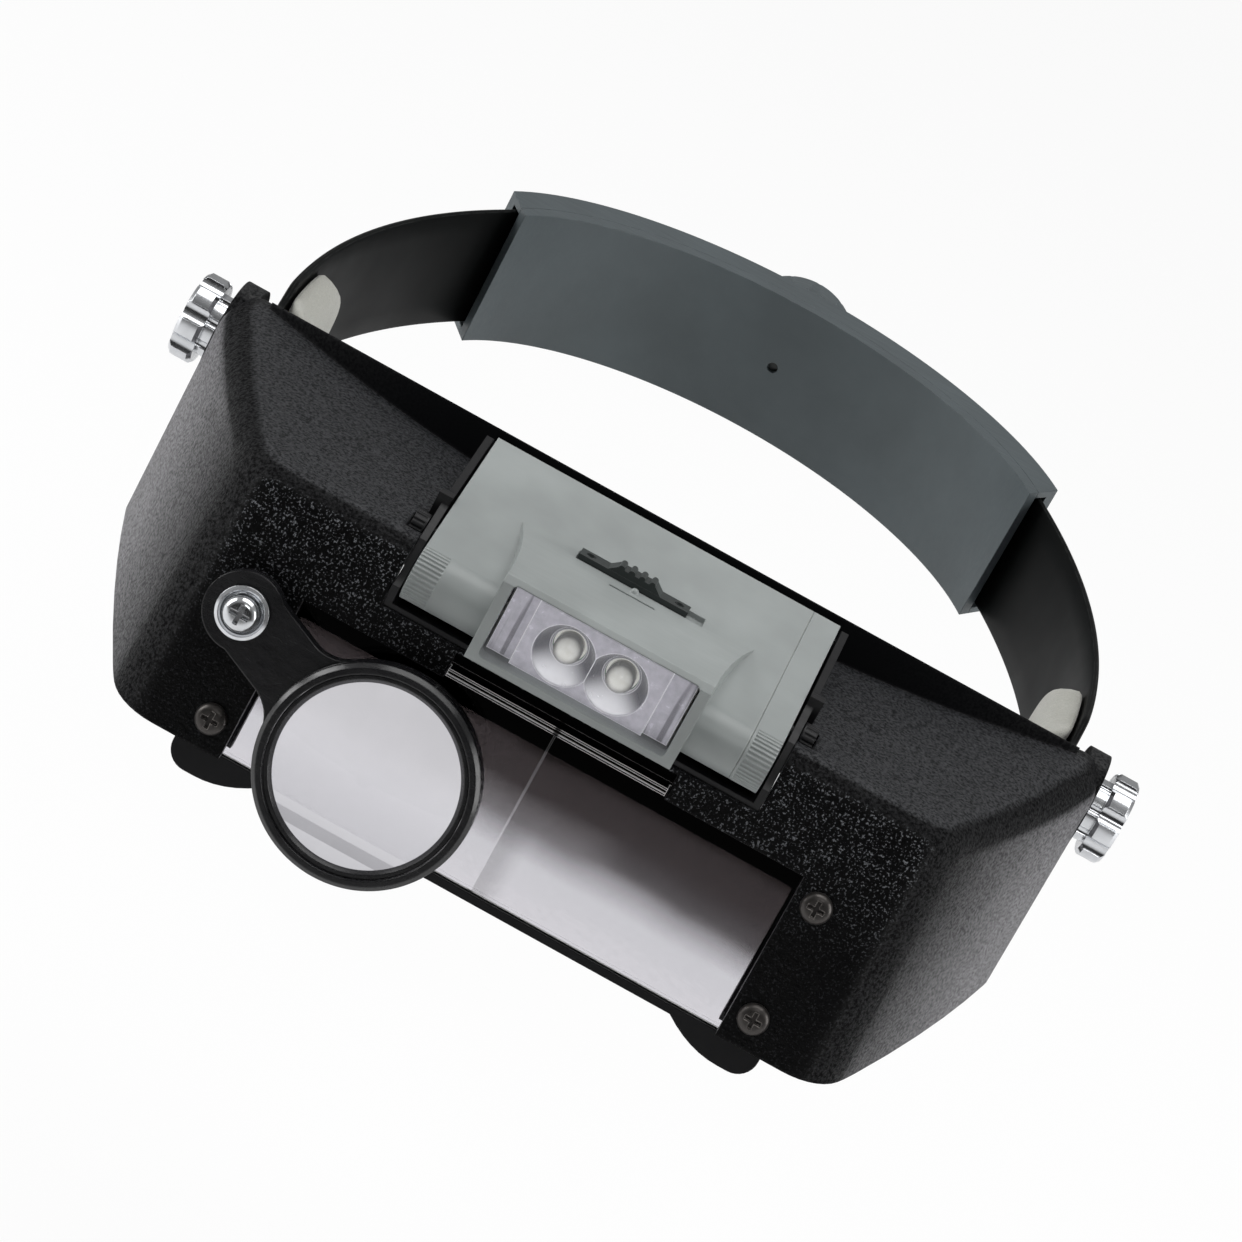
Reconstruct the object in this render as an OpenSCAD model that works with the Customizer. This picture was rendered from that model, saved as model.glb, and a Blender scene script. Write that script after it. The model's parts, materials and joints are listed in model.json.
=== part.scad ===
// Head visor magnifier: a visor with a two-eye lens, a flip-down lens, a swing-out loupe and a
// tilting lamp, hung by two thumb screws on an adjustable headband.
// Origin: middle of the visor's tilt axis. +Z up, the wearer faces -Y, +X is on the viewer's right.

/* [Visor] */
// Half of the visor's width at the temples
visor_half_w = 91; // [90.5:0.1:91.5]
// Half of the width between the centres of the front corners' rounding
front_corner_x = 60.5; // [59:0.5:62]
// Height of the roof above the tilt axis at the front ridge
ridge_z = 8.2; // [8:0.1:8.5]
// Height of the roof above the tilt axis at its back edge
roof_back_z = 10.9; // [10.7:0.1:11.2]
// Wall thickness of the moulded visor
wall = 2.3; // [2.1:0.1:2.5]
// Lean of the front face away from vertical, top towards the wearer
lean = 12; // [11:0.5:13]
// How far the front face lies ahead of the tilt axis, at the axis' height
face_ahead = 66.9; // [66.5:0.1:67.3]

/* [Window and lenses] */
// Half-width of the window opening
window_half_w = 48.5; // [46:0.5:49]
// Top edge of the window, measured down the face from the axis' height
window_top = 9.5; // [9:0.1:10.5]
// Thickness of the two-eye lens plate
lens_t = 2.4; // [2:0.1:2.5]
// Radius of the loupe's clear lens
loupe_r = 16; // [14:0.5:17]
// Distance from the loupe's pivot to the middle of its lens
loupe_reach = 34.6; // [33.6:0.1:35.4]
// Angle of the loupe's arm below horizontal
loupe_drop = 24.4; // [20:0.1:28]

/* [Lamp] */
// Half of the lamp's width
lamp_half_w = 34.3; // [33:0.1:34.5]
// Half-width of the light's hood at the front
hood_half_w = 19.6; // [19.2:0.1:20.4]
// Distance between the two LEDs
led_gap = 10; // [9:0.5:11]
// Diameter of each battery
cell_d = 10.5; // [10:0.1:10.5]
// Length of each battery
cell_len = 44.5; // [42:0.5:44.5]

/* [Headband] */
// Height of the strap
strap_h = 28; // [26:1:28]
// Thickness of the strap
strap_t = 1.5; // [1.3:0.1:1.6]
// Thickness of the forehead foam
pad_t = 5; // [4:0.5:6]
// Radius of the adjuster knob
knob_r = 15.5; // [13:0.5:16]
// Number of teeth on the adjuster's pinion
pinion_teeth = 10; // [10:1:10]
// Radius of the thumb screws' heads
thumb_r = 8.6; // [7.5:0.1:9]

/* [Hidden] */
$fn = 96;
gap = 0.1;                 // general clearance between fixed pieces
far = 300;                 // larger than the whole object

// Where the strap sits
band_mid_z = -3;
strap_lo = band_mid_z - strap_h / 2;
strap_hi = band_mid_z + strap_h / 2;

// Plan of each strap arm: one large arc, then the arc that it shares with the rear housing
arm_r = 219.8;
arm_c = [-135, 24.2];
tail_c = [0, 88];
tail_r = 70.5;
mouth_angle = 64.7;        // from the rear centre to the housing's mouth, about tail_c

// Plan of the visor's curved back edge and of the front band behind it
rim_c = [0, 162];
rim_r = 187;
rim_t = 2.2;
band_r = 183.4;
band_t = 1.8;
band_corner_r = 14;
band_side_r = arm_r - strap_t / 2 - gap;
rivet_y = 20;
rivet_z = [-1.5, -11.5];

// Pivot stack, from the strap outwards along X
ear_in = visor_half_w - 4.1;
block_out = ear_in - 0.7;
washer_t = 0.55;
shoulder_r = 4;
shank_r = 2;

// Rear adjuster
layer_gap = 1.8;
layer_a_r = tail_r - layer_gap / 2;   // left strap's tail
layer_b_r = tail_r + layer_gap / 2;   // right strap's tail
pinion_r = 6;
tooth_pitch = 2 * PI * pinion_r / pinion_teeth;
cavity_in = 68.5;
cavity_out = 72.4;
rear_y = tail_c[1] + tail_r;

// Lamp, side profile
lamp_back_y = -30;
lamp_slope = 0.29;
lamp_bottom = -0.8;
tube_c = [-65.8, 4.2];
tube_r = 5.2;
tube_lap = 0.1;            // how far the sloping top's line dips into the tube
lamp_back_z = tube_c[1] + lamp_slope * (lamp_back_y - tube_c[0])
    + (tube_r - tube_lap) * sqrt(1 + lamp_slope * lamp_slope);
lamp_axis = [-57, 8];
lamp_wall = 1.2;
door_x = 29;
hood_front_y = -76;
hood_back_y = -48.5;
hood_edge = 1.2;           // chamfer along the hood's upper front edge
hood_top_front = 15.6;
switch_y = -49.7;

// Face-plane places, [across, up the face]
screw_x = 52.8;
screw_up = [-13.2, -35.4];
loupe_pivot = [-56, -15.3];
loupe_back = 2;            // how far the loupe's back stands off the face
loupe_depth = 5.6;
flip_d = -11.7;            // depth of the flip lens behind the face
flip_up = -8;
flip_half_w = 57;

function lamp_top(y) = lamp_back_z - lamp_slope * (lamp_back_y - y);
hood_rise = (hood_top_front - lamp_top(hood_back_y)) / (hood_back_y - hood_front_y - hood_edge);
function hood_top(y) = hood_top_front - hood_rise * (y - hood_front_y - hood_edge);
function arc_pts(c, r, a0, a1, n) =
    [for (i = [0:n]) c + r * [cos(a0 + (a1 - a0) * i / n), sin(a0 + (a1 - a0) * i / n)]];

// ---------- helpers ----------

// Local X across, Y up the front face, Z out of it
module on_face(across = 0, up = 0, out = 0) {
    translate([0, -face_ahead, 0])
        rotate([90 - lean, 0, 0])
            translate([across, up, out]) children();
}

module x_rod(x0, x1, r) {
    translate([x0, 0, 0]) rotate([0, 90, 0]) cylinder(r = r, h = x1 - x0);
}

module y_rod(y0, y1, r) {
    translate([0, y0, 0]) rotate([-90, 0, 0]) cylinder(r = r, h = y1 - y0);
}

module both_sides() {
    children();
    mirror([1, 0, 0]) children();
}

// A box given by its two corners
module span(lo, hi) {
    translate(lo) cube(hi - lo);
}

// A profile drawn in [y, z], swept along X
module side_extrude(x0, x1) {
    translate([x0, 0, 0]) rotate([90, 0, 90]) linear_extrude(x1 - x0) children();
}

// Part of a ring about Z, from angle a0 to a1 seen from above
module arc_wall(c, r_in, r_out, z0, z1, a0, a1) {
    translate([c[0], c[1], 0])
        rotate([0, 0, a0])
            rotate_extrude(angle = a1 - a0, $fn = 200)
                translate([r_in, z0]) square([r_out - r_in, z1 - z0]);
}

module cross_recess(w, deep) {
    for (a = [0, 90])
        rotate([0, 0, a]) translate([-w / 2, -w / 8, -deep]) cube([w, w / 4, deep + 1]);
}

// Pan-head screw, head at z 0 upwards, shank downwards
module pan_screw(head_r, head_h, shank, length) {
    difference() {
        union() {
            rotate_extrude()
                polygon(concat([[0, 0], [head_r, 0]],
                    arc_pts([head_r - head_h * 0.9, 0.1 * head_h], head_h * 0.9, 0, 90, 6),
                    [[0, head_h]]));
            translate([0, 0, -length]) cylinder(r = shank, h = length + 0.05);
        }
        translate([0, 0, head_h]) cross_recess(head_r * 1.1, head_h * 0.6);
    }
}

// ---------- headband ----------

// The side arm of a strap, right-hand side, with its front end rounded about the tilt axis
module strap_arm() {
    end_angle = asin((tail_c[1] + tail_r * cos(mouth_angle) - arm_c[1]) / arm_r);
    start_angle = -10;
    tongue_r = 9.3;
    inside_mouth = 13.8;
    bend = [90 - mouth_angle + 1, 90 - mouth_angle + inside_mouth];
    half_t = strap_t / 2;
    difference() {
        translate([0, 0, strap_lo])
            linear_extrude(strap_h)
                polygon(concat(
                    arc_pts(arm_c, arm_r + half_t, start_angle, end_angle, 40),
                    arc_pts(tail_c, tail_r + half_t, bend[0], bend[1], 16),
                    arc_pts(tail_c, tail_r - half_t, bend[1], bend[0], 16),
                    arc_pts(arm_c, arm_r - half_t, end_angle, start_angle, 40)));
        // rounded tongue at the pivot, with room for the visor's edge above it
        difference() {
            span([60, -60, strap_lo - 1], [100, 8, strap_hi + 1]);
            x_rod(50, 110, tongue_r);
            side_extrude(50, 110)
                polygon([[0, strap_lo - 2], [9, strap_lo - 2], [9, strap_hi + 0.3],
                    [3.6, 8.5], [0, 8.5]]);
        }
        x_rod(60, 100, 3.75);
        for (z = rivet_z) translate([0, rivet_y, z]) x_rod(60, 100, 1.55);
    }
}

module left_strap() {
    color([0.10, 0.12, 0.12]) mirror([1, 0, 0]) strap_arm();
}

module right_strap() {
    color([0.10, 0.12, 0.12]) strap_arm();
}

// The D-shaped space inside the headband, shrunk by "inset"
module d_space(inset, z0, z1) {
    corner_x = arm_c[0] + band_side_r - band_corner_r - 1.2;
    corner_y = rim_c[1] - sqrt(pow(band_r - band_corner_r, 2) - pow(corner_x, 2));
    reach = [corner_x, corner_y - rim_c[1]] * (90 / (band_r - band_corner_r));
    module half() {
        difference() {
            intersection() {
                translate([arm_c[0], arm_c[1], z0])
                    cylinder(r = band_side_r - inset, h = z1 - z0, $fn = 200);
                translate([rim_c[0], rim_c[1], z0])
                    cylinder(r = band_r - inset, h = z1 - z0, $fn = 200);
                span([0, -40, z0 - 1], [120, 90, z1 + 1]);
            }
            difference() {
                translate([corner_x, corner_y, z0 - 1])
                    linear_extrude(z1 - z0 + 2)
                        polygon([[0, 0], [60, 0], [60, -90], reach]);
                translate([corner_x, corner_y, z0 - 2])
                    cylinder(r = band_corner_r - inset, h = z1 - z0 + 4);
            }
        }
    }
    half();
    mirror([1, 0, 0]) half();
}

band_lo = strap_lo + 0.5;
band_hi = 10;

module front_band() {
    end_y = 24;
    side_top = 1.5;            // its sides stay lower than the pad's
    color([0.07, 0.07, 0.08])
    difference() {
        intersection() {
            d_space(0, band_lo, band_hi);
            // rounded ends
            union() {
                span([-far, -far, band_lo - 1], [far, end_y, band_hi + 1]);
                translate([0, end_y, (band_lo + band_hi) / 2]) x_rod(-120, 120, (band_hi - band_lo) / 2);
            }
        }
        d_space(band_t, band_lo - 1, band_hi + 1);
        both_sides() {
            x_rod(60, 100, 6.5);
            side_extrude(50, 100)
                polygon([[-3, band_hi + 1], [5, side_top], [60, side_top], [60, band_hi + 1]]);
            for (z = rivet_z) translate([0, rivet_y, z]) x_rod(60, 100, 1.55);
        }
    }
}

module forehead_pad() {
    end_y = 26;
    lo = band_lo + 0.3;
    hi = band_hi - 0.3;
    mid = (lo + hi) / 2;
    color([0.72, 0.72, 0.69])
    intersection() {
        difference() {
            d_space(band_t + 0.25, lo, hi);
            d_space(band_t + 0.25 + pad_t, lo - 1, hi + 1);
        }
        union() {
            span([-far, -far, lo - 1], [far, end_y, hi + 1]);
            translate([0, end_y, mid]) x_rod(-120, 120, (hi - lo) / 2);
        }
    }
}

module strap_rivets() {
    head_r = 2.6;
    color([0.15, 0.15, 0.15])
    both_sides()
        for (z = rivet_z)
            translate([0, rivet_y, z]) {
                x_rod(arm_c[0] + arm_r - strap_t / 2 - band_t + 0.1, arm_c[0] + arm_r + 1, 1.45);
                x_rod(arm_c[0] + arm_r + strap_t / 2 + 0.05, arm_c[0] + arm_r + strap_t / 2 + 0.8, head_r);
            }
}

module pivot_blocks() {
    color([0.25, 0.26, 0.27])
    both_sides()
        difference() {
            x_rod(80, block_out, 7.5);
            translate([arm_c[0], arm_c[1], -20])
                cylinder(r = arm_r + strap_t / 2 + gap, h = 40, $fn = 200);
            x_rod(70, 100, 3.75);
        }
}

module pivot_inserts() {
    flange_x = 81;
    color([0.80, 0.68, 0.38])
    both_sides()
        difference() {
            union() {
                x_rod(flange_x, flange_x + 0.9, 6);
                x_rod(flange_x, block_out - 0.1, 3.6);
            }
            x_rod(70, 100, shank_r + 0.05);
        }
}

module friction_washers() {
    color([0.75, 0.75, 0.77])
    both_sides()
        difference() {
            x_rod(block_out + 0.05, block_out + 0.05 + washer_t, 7.5);
            x_rod(70, 100, shank_r + 0.4);
        }
}

// Chromed screw with a scalloped head, right-hand side
module thumb_screw() {
    lobes = 8;
    groove_r = 2.1;
    neck_r = 6.2;
    neck_x = visor_half_w + 0.3;
    head_x = neck_x + 2.2;
    end_x = head_x + 4.7;
    edge = 0.7;
    color([0.82, 0.83, 0.85]) {
        x_rod(82, ear_in + 0.1, shank_r);
        x_rod(ear_in + 0.1, neck_x + 0.1, shoulder_r);
        difference() {
            rotate([0, 90, 0])
                rotate_extrude()
                    polygon([[0, neck_x], [neck_r, neck_x], [neck_r, head_x],
                        [thumb_r - edge, head_x], [thumb_r, head_x + edge],
                        [thumb_r, end_x - edge], [thumb_r - edge, end_x],
                        [thumb_r - 2.6, end_x], [thumb_r - 3.2, end_x - 0.6], [0, end_x - 0.6]]);
            for (i = [0:lobes - 1])
                rotate([(i + 0.5) * 360 / lobes, 0, 0]) {
                    translate([0, 0, thumb_r + groove_r * 0.45])
                        x_rod(head_x - 0.01, end_x + 1, groove_r);
                    translate([0, 0, neck_r + 0.4]) x_rod(neck_x - 1, head_x, 1.1);
                }
        }
    }
}

module left_thumb_screw() {
    mirror([1, 0, 0]) thumb_screw();
}

module right_thumb_screw() {
    thumb_screw();
}

// ---------- visor ----------

// The visor's outer form, shrunk by "inset": rounded posts along each side, hulled
module visor_form(inset) {
    bottom = -47;
    foot_r = 11;
    front_minor = 5;
    back_minor = 7;
    ring = [foot_r - front_minor, foot_r - back_minor];
    steps = 5;
    bow = 1;                   // how far the side walls bulge between front and back
    front_y = -face_ahead + ring[0] + front_minor / cos(lean) + (ridge_z - front_minor) * tan(lean);
    foot_front_y = -face_ahead + foot_r + bottom * tan(lean);
    ear_y = -8;
    rear_y = 14;
    back_x = visor_half_w - foot_r;
    module post(x, y, top, major, minor) {
        translate([x, y, top - minor])
            rotate_extrude($fn = 40)
                intersection() {
                    translate([major, 0]) circle(r = minor - inset, $fn = 24);
                    translate([0, -20]) square([40, 40]);
                }
    }
    module foot(x, y) {
        translate([x, y, bottom - 1]) cylinder(r = foot_r - inset, h = 1, $fn = 40);
    }
    hull()
        both_sides() {
            for (i = [0:steps]) {
                t = i / steps;
                bulge = 4 * bow * t * (1 - t);
                post(front_corner_x + (back_x - front_corner_x) * t + bulge,
                    front_y + (ear_y - front_y) * t,
                    ridge_z + (roof_back_z + 0.1 - ridge_z) * t,
                    ring[0] + (ring[1] - ring[0]) * t, front_minor + (back_minor - front_minor) * t);
                foot(front_corner_x + 1 + (back_x - 0.1 - front_corner_x) * t + bulge,
                    foot_front_y + (ear_y - foot_front_y) * t);
            }
            post(back_x, rear_y, roof_back_z + 0.9, ring[1], back_minor);
            foot(back_x + 0.9, rear_y);
        }
}

module below_visor() {
    front_z = -40.3;
    side_rise = 3.15;
    translate([0, -78, front_z])
        rotate([side_rise, 0, 0])
            translate([-far / 2, -60, -100]) cube([far, far, 100]);
}

// The upstanding rim along the roof's curved back edge
module visor_rim() {
    temple_z = 10.7;
    rise = 20;
    intersection() {
        difference() {
            translate([rim_c[0], rim_c[1], roof_back_z - wall])
                cylinder(r = rim_r + rim_t, h = 14, $fn = 200);
            translate([rim_c[0], rim_c[1], -1]) cylinder(r = rim_r, h = 40, $fn = 200);
        }
        translate([0, -3, temple_z])
            rotate([-rise, 0, 0])
                translate([-84, -60, -30]) cube([168, 62, 30]);
    }
}

tray_half_w = 36.3;
tray_back = -27.4;
knob_out = 39;
knob_rib_r = 2.7;

module visor_shell() {
    notch_half_w = 21.4;
    notch_top = 4.7;
    ledge_z = -3.7;
    color([0.055, 0.055, 0.06])
    difference() {
        union() {
            difference() {
                visor_form(0);
                visor_form(wall);
                below_visor();
                translate([rim_c[0], rim_c[1], -100]) cylinder(r = rim_r, h = 200, $fn = 200);
            }
            visor_rim();
            both_sides() x_rod(ear_in, visor_half_w, 10.4);
            on_face(loupe_pivot[0], loupe_pivot[1], -0.5) cylinder(r = 5, h = 1.4);
        }
        both_sides() x_rod(60, 120, shoulder_r + 0.06);
        // seat for the lamp's bracket, open to the front
        span([-tray_half_w - gap, -90, ledge_z], [tray_half_w + gap, tray_back + 0.05, 40]);
        // pockets round the lamp's pivot knobs
        at_lamp_axis() both_sides() x_rod(tray_half_w, knob_out + 0.5, knob_rib_r + 0.4);
        // window, open at the bottom, and the notch above it
        on_face(0, 0, -6)
            linear_extrude(12)
                union() {
                    translate([-window_half_w, -60]) square([2 * window_half_w, 60 - window_top]);
                    translate([-notch_half_w, -window_top - 1])
                        square([2 * notch_half_w, window_top + 1 - notch_top]);
                }
        for (p = [[1, 0], [1, 1], [-1, 1]])
            on_face(p[0] * screw_x, screw_up[p[1]], -6) cylinder(r = 1.35, h = 12);
        on_face(loupe_pivot[0], loupe_pivot[1], -6) cylinder(r = 1.6, h = 12);
    }
}

lens_front_d = -wall - 0.15;
frame_front_d = lens_front_d - lens_t - 0.1;
frame_t = 2.2;

module lens_plate() {
    half_w = window_half_w + 0.8;
    lens_top = -7.3;
    lens_low = -40.4;
    seam = 0.25;
    bead_half_w = 21.1;
    bead_h = 1.4;
    bead_d = 1.3;
    lip = 0.4;
    color([0.85, 0.9, 0.92, 0.35])
    on_face(0, 0, 0) {
        difference() {
            span([-half_w, lens_low, lens_front_d - lens_t], [half_w, lens_top, lens_front_d]);
            // fine groove between the two eyes' lenses
            translate([0, 0, lens_front_d])
                span([-seam / 2, lens_low - 1, -0.3], [seam / 2, lens_top + 1, 1]);
        }
        // ledge with two lips that fills the notch under the lamp
        difference() {
            span([-bead_half_w, lens_top - bead_h, lens_front_d - 1], [bead_half_w, lens_top, bead_d]);
            span([-bead_half_w - 1, lens_top - bead_h + lip, bead_d - lip],
                [bead_half_w + 1, lens_top - lip, bead_d + 1]);
        }
    }
}

module lens_frame() {
    open_half_w = 46;
    outer = 60;
    top = -5;
    bar_low = -13.2;
    low = -39.6;
    back = frame_front_d - frame_t;
    ear_w = 2.6;
    color([0.06, 0.06, 0.065])
    on_face(0, 0, 0)
        difference() {
            union() {
                span([-outer, bar_low, back], [outer, top, frame_front_d]);
                for (s = [-1, 1]) {
                    span([s < 0 ? -outer : open_half_w + 2, low, back],
                        [s < 0 ? -open_half_w - 2 : outer, bar_low + 0.1, frame_front_d]);
                    for (up = screw_up)
                        translate([s * screw_x, up, back])
                            cylinder(r = 2.8, h = -wall - 0.1 - back);
                    span([s < 0 ? -outer : outer - ear_w, flip_up - 3, flip_d - 2.8],
                        [s < 0 ? -outer + ear_w : outer, flip_up + 3, back + 0.1]);
                }
            }
            for (s = [-1, 1])
                for (up = screw_up)
                    translate([s * screw_x, up, back - 1]) cylinder(r = 1.35, h = 12);
            translate([loupe_pivot[0], loupe_pivot[1], back - 1]) cylinder(r = 1.6, h = 12);
            translate([0, flip_up, flip_d]) x_rod(-70, 70, 1.26);
            // the loupe's own corner carries no screw, so its post stops clear of the wall
            translate([-screw_x, screw_up[0], frame_front_d]) cylinder(r = 3, h = 6);
        }
}

module window_screws() {
    color([0.12, 0.12, 0.13])
    for (p = [[1, 0], [1, 1], [-1, 1]])
        on_face(p[0] * screw_x, screw_up[p[1]], 0.05) pan_screw(2.85, 1.5, 1.25, 6.5);
}

module flip_hinge_pins() {
    color([0.7, 0.7, 0.72])
    on_face(0, flip_up, flip_d)
        both_sides() x_rod(52.5, 60.4, 1.2);
}

// ---------- loupe ----------

module on_loupe_pivot(out) {
    on_face(loupe_pivot[0], loupe_pivot[1], out) children();
}

module loupe_pivot_screw() {
    color([0.80, 0.81, 0.83])
    on_loupe_pivot(6.5) pan_screw(3.2, 2, 1.5, 16.4);
}

module loupe_cup_washer() {
    color([0.82, 0.83, 0.85])
    on_loupe_pivot(5.15)
        rotate_extrude()
            polygon([[1.6, 0], [4.7, 0], [4.7, 0.9], [4.1, 1.25], [3.5, 0.9], [3.4, 0.8], [1.6, 0.8]]);
}

module loupe_spring_washer() {
    color([0.7, 0.7, 0.72])
    on_loupe_pivot(0.95)
        difference() {
            cylinder(r = 4, h = 0.95);
            translate([0, 0, -1]) cylinder(r = 1.6, h = 4);
        }
}

module loupe_pivot_nut() {
    color([0.75, 0.75, 0.77])
    on_loupe_pivot(frame_front_d - frame_t - 2.1)
        difference() {
            cylinder(r = 3, h = 2, $fn = 6);
            translate([0, 0, -1]) cylinder(r = 1.6, h = 4);
        }
}

ring_r = loupe_r + 3.6;
lens_seat_r = loupe_r + 1.7;
lens_mid_d = loupe_depth / 2 + 0.1;
lens_edge_t = 1.4;

module loupe_arm() {
    lens_back = lens_mid_d - lens_edge_t / 2;
    arm_w = 12.8;
    arm_t = 3.1;
    pivot_r = 7.1;
    fillet_r = 7;
    // middle of the fillet that joins the arm's edge to the ring
    fillet = [loupe_reach - sqrt(pow(ring_r + fillet_r, 2) - pow(arm_w / 2 + fillet_r, 2)),
        arm_w / 2 + fillet_r];
    fillet_end = -atan2(fillet[1], loupe_reach - fillet[0]);
    color([0.05, 0.05, 0.055])
    on_loupe_pivot(loupe_back)
        rotate([0, 0, -loupe_drop])
            difference() {
                union() {
                    cylinder(r = pivot_r, h = arm_t);
                    translate([0, -arm_w / 2, 0]) cube([loupe_reach - ring_r + 4, arm_w, arm_t]);
                    // concave fillets where the arm meets the ring
                    for (m = [0, 1])
                        mirror([0, m, 0])
                            linear_extrude(arm_t)
                                polygon(concat([[fillet[0], 0]],
                                    arc_pts(fillet, fillet_r, -90, fillet_end, 10),
                                    [[loupe_reach - lens_seat_r, 0]]));
                    translate([loupe_reach, 0, 0])
                        rotate_extrude()
                            polygon([[lens_seat_r - 1, 0], [ring_r - 0.5, 0], [ring_r, 0.5],
                                [ring_r, loupe_depth - 0.8], [ring_r - 0.8, loupe_depth],
                                [lens_seat_r - 1, loupe_depth]]);
                }
                translate([0, 0, -1]) cylinder(r = 1.58, h = 8);
                // the lens' seat follows the curve of its back
                translate([loupe_reach, 0, 0])
                    rotate_extrude()
                        polygon([[0, -1], [loupe_r - 0.1, -1], [loupe_r - 0.1, lens_back - 0.5],
                            [lens_seat_r, lens_back - 0.05], [lens_seat_r, 10], [0, 10]]);
            }
}

module loupe_lens() {
    edge_r = lens_seat_r - 0.1;
    curve_r = 70;
    sag = curve_r - sqrt(curve_r * curve_r - edge_r * edge_r);
    offset_c = curve_r - sag - lens_edge_t / 2;
    color([0.85, 0.9, 0.92, 0.35])
    on_loupe_pivot(loupe_back)
        rotate([0, 0, -loupe_drop])
            translate([loupe_reach, 0, lens_mid_d])
                intersection() {
                    cylinder(r = edge_r, h = 20, center = true);
                    translate([0, 0, -offset_c]) sphere(r = curve_r, $fn = 200);
                    translate([0, 0, offset_c]) sphere(r = curve_r, $fn = 200);
                }
}

module loupe_retaining_ring() {
    front = loupe_depth - 0.7;
    back = lens_mid_d + lens_edge_t / 2 + 0.5;
    color([0.05, 0.05, 0.055])
    on_loupe_pivot(loupe_back)
        rotate([0, 0, -loupe_drop])
            translate([loupe_reach, 0, 0])
                rotate_extrude()
                    polygon([[loupe_r + 0.15, back], [lens_seat_r - 0.1, back - 0.4],
                        [lens_seat_r - 0.1, front], [loupe_r + 0.8, front]]);
}

// ---------- flip-down lens ----------

module flip_frame() {
    side_w = 3;
    bar_low = -44.5;
    bar_t = 1.5;
    tab_in = 40.5;
    tab_flat = 52;
    tab_out = 58;
    tab_low = -48.5;
    tab_r = 4;
    tab_steps = 6;
    t = 2.6;
    color([0.05, 0.05, 0.055])
    on_face(0, 0, flip_d - t / 2)
        difference() {
            union() {
                linear_extrude(t)
                    difference() {
                        translate([-flip_half_w, bar_low]) square([2 * flip_half_w, flip_up - bar_low]);
                        translate([-flip_half_w + side_w, bar_low + bar_t])
                            square([2 * (flip_half_w - side_w), flip_up - 3 - bar_low - bar_t]);
                    }
                both_sides() {
                    // finger tab, sweeping down to a rounded outer corner
                    linear_extrude(t)
                        polygon(concat([[tab_in, bar_low + 1]],
                            [for (i = [0:tab_steps])
                                [tab_in + (tab_flat - tab_in) * i / tab_steps,
                                    tab_low + (bar_low - tab_low) * pow(1 - i / tab_steps, 2)]],
                            arc_pts([tab_out - tab_r, tab_low + tab_r], tab_r, -90, 0, 8),
                            [[tab_out, bar_low + 1]]));
                    translate([0, flip_up, t / 2]) x_rod(53, flip_half_w, 2.6);
                }
            }
            translate([0, flip_up, t / 2]) x_rod(-70, 70, 1.27);
            // groove for the lens' edges
            translate([0, 0, t / 2 - 0.8])
                linear_extrude(1.6)
                    translate([-flip_half_w + side_w - 1.2, bar_low + 0.5])
                        square([2 * (flip_half_w - side_w + 1.2), flip_up - 2 - bar_low - 0.5]);
        }
}

module flip_lens() {
    half_w = flip_half_w - 3 + 1.1;
    t = 1.5;
    color([0.85, 0.9, 0.92, 0.35])
    on_face(0, 0, flip_d - t / 2)
        span([-half_w, -43.9, 0], [half_w, flip_up - 2.1, t]);
}

// ---------- lamp ----------

module at_lamp_axis() {
    translate([0, lamp_axis[0], lamp_axis[1]]) children();
}

// Tray that carries the lamp: floor, back wall and two cheeks
module lamp_bracket() {
    floor_lo = -3.6;
    floor_hi = -2.6;
    cheek_in = 34.9;
    front = -67.2;
    color([0.06, 0.06, 0.065])
    difference() {
        union() {
            span([-tray_half_w, front, floor_lo], [tray_half_w, tray_back, floor_hi]);
            span([-tray_half_w, tray_back - 1, floor_lo], [tray_half_w, tray_back, roof_back_z + 4.5]);
            both_sides() {
                side_extrude(cheek_in, tray_half_w)
                    polygon([[tray_back, floor_lo], [tray_back, lamp_back_z - 3],
                        [lamp_back_y - 1, lamp_back_z - 1.2], [-52, lamp_top(-52) - 0.4],
                        [-61.5, 8], [-65, 2], [front, 0.5], [front, floor_lo]]);
                // stop lug beside the pivot
                span([cheek_in, -53.5, 9], [tray_half_w + 1.2, -51.3, lamp_top(-52) + 0.5]);
            }
        }
        at_lamp_axis() x_rod(-60, 60, 1.26);
    }
}

module lamp_pivot_knobs() {
    ribs = 14;
    color([0.04, 0.04, 0.045])
    at_lamp_axis()
        both_sides() {
            x_rod(32.6, tray_half_w + 0.2, 1.2);
            difference() {
                x_rod(tray_half_w + 0.15, knob_out, knob_rib_r);
                for (i = [0:ribs - 1])
                    rotate([i * 360 / ribs, 0, 0])
                        translate([0, 0, knob_rib_r + 0.1]) x_rod(tray_half_w + 0.5, knob_out + 1, 0.3);
            }
        }
}

// Side profile of the lamp's body, shrunk by "inset"
module lamp_profile(inset) {
    round_r = 2;
    slope_angle = atan(lamp_slope);
    meets = tube_c + (tube_r - tube_lap - inset) * [-sin(slope_angle), cos(slope_angle)];
    polygon(concat(
        [[tube_c[0], lamp_bottom + inset], [lamp_back_y - inset, lamp_bottom + inset]],
        arc_pts([lamp_back_y - round_r, lamp_back_z - round_r - 0.3], round_r - inset, 0, 74, 5),
        [meets, tube_c]));
    translate(tube_c) circle(r = tube_r - inset);
}

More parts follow.
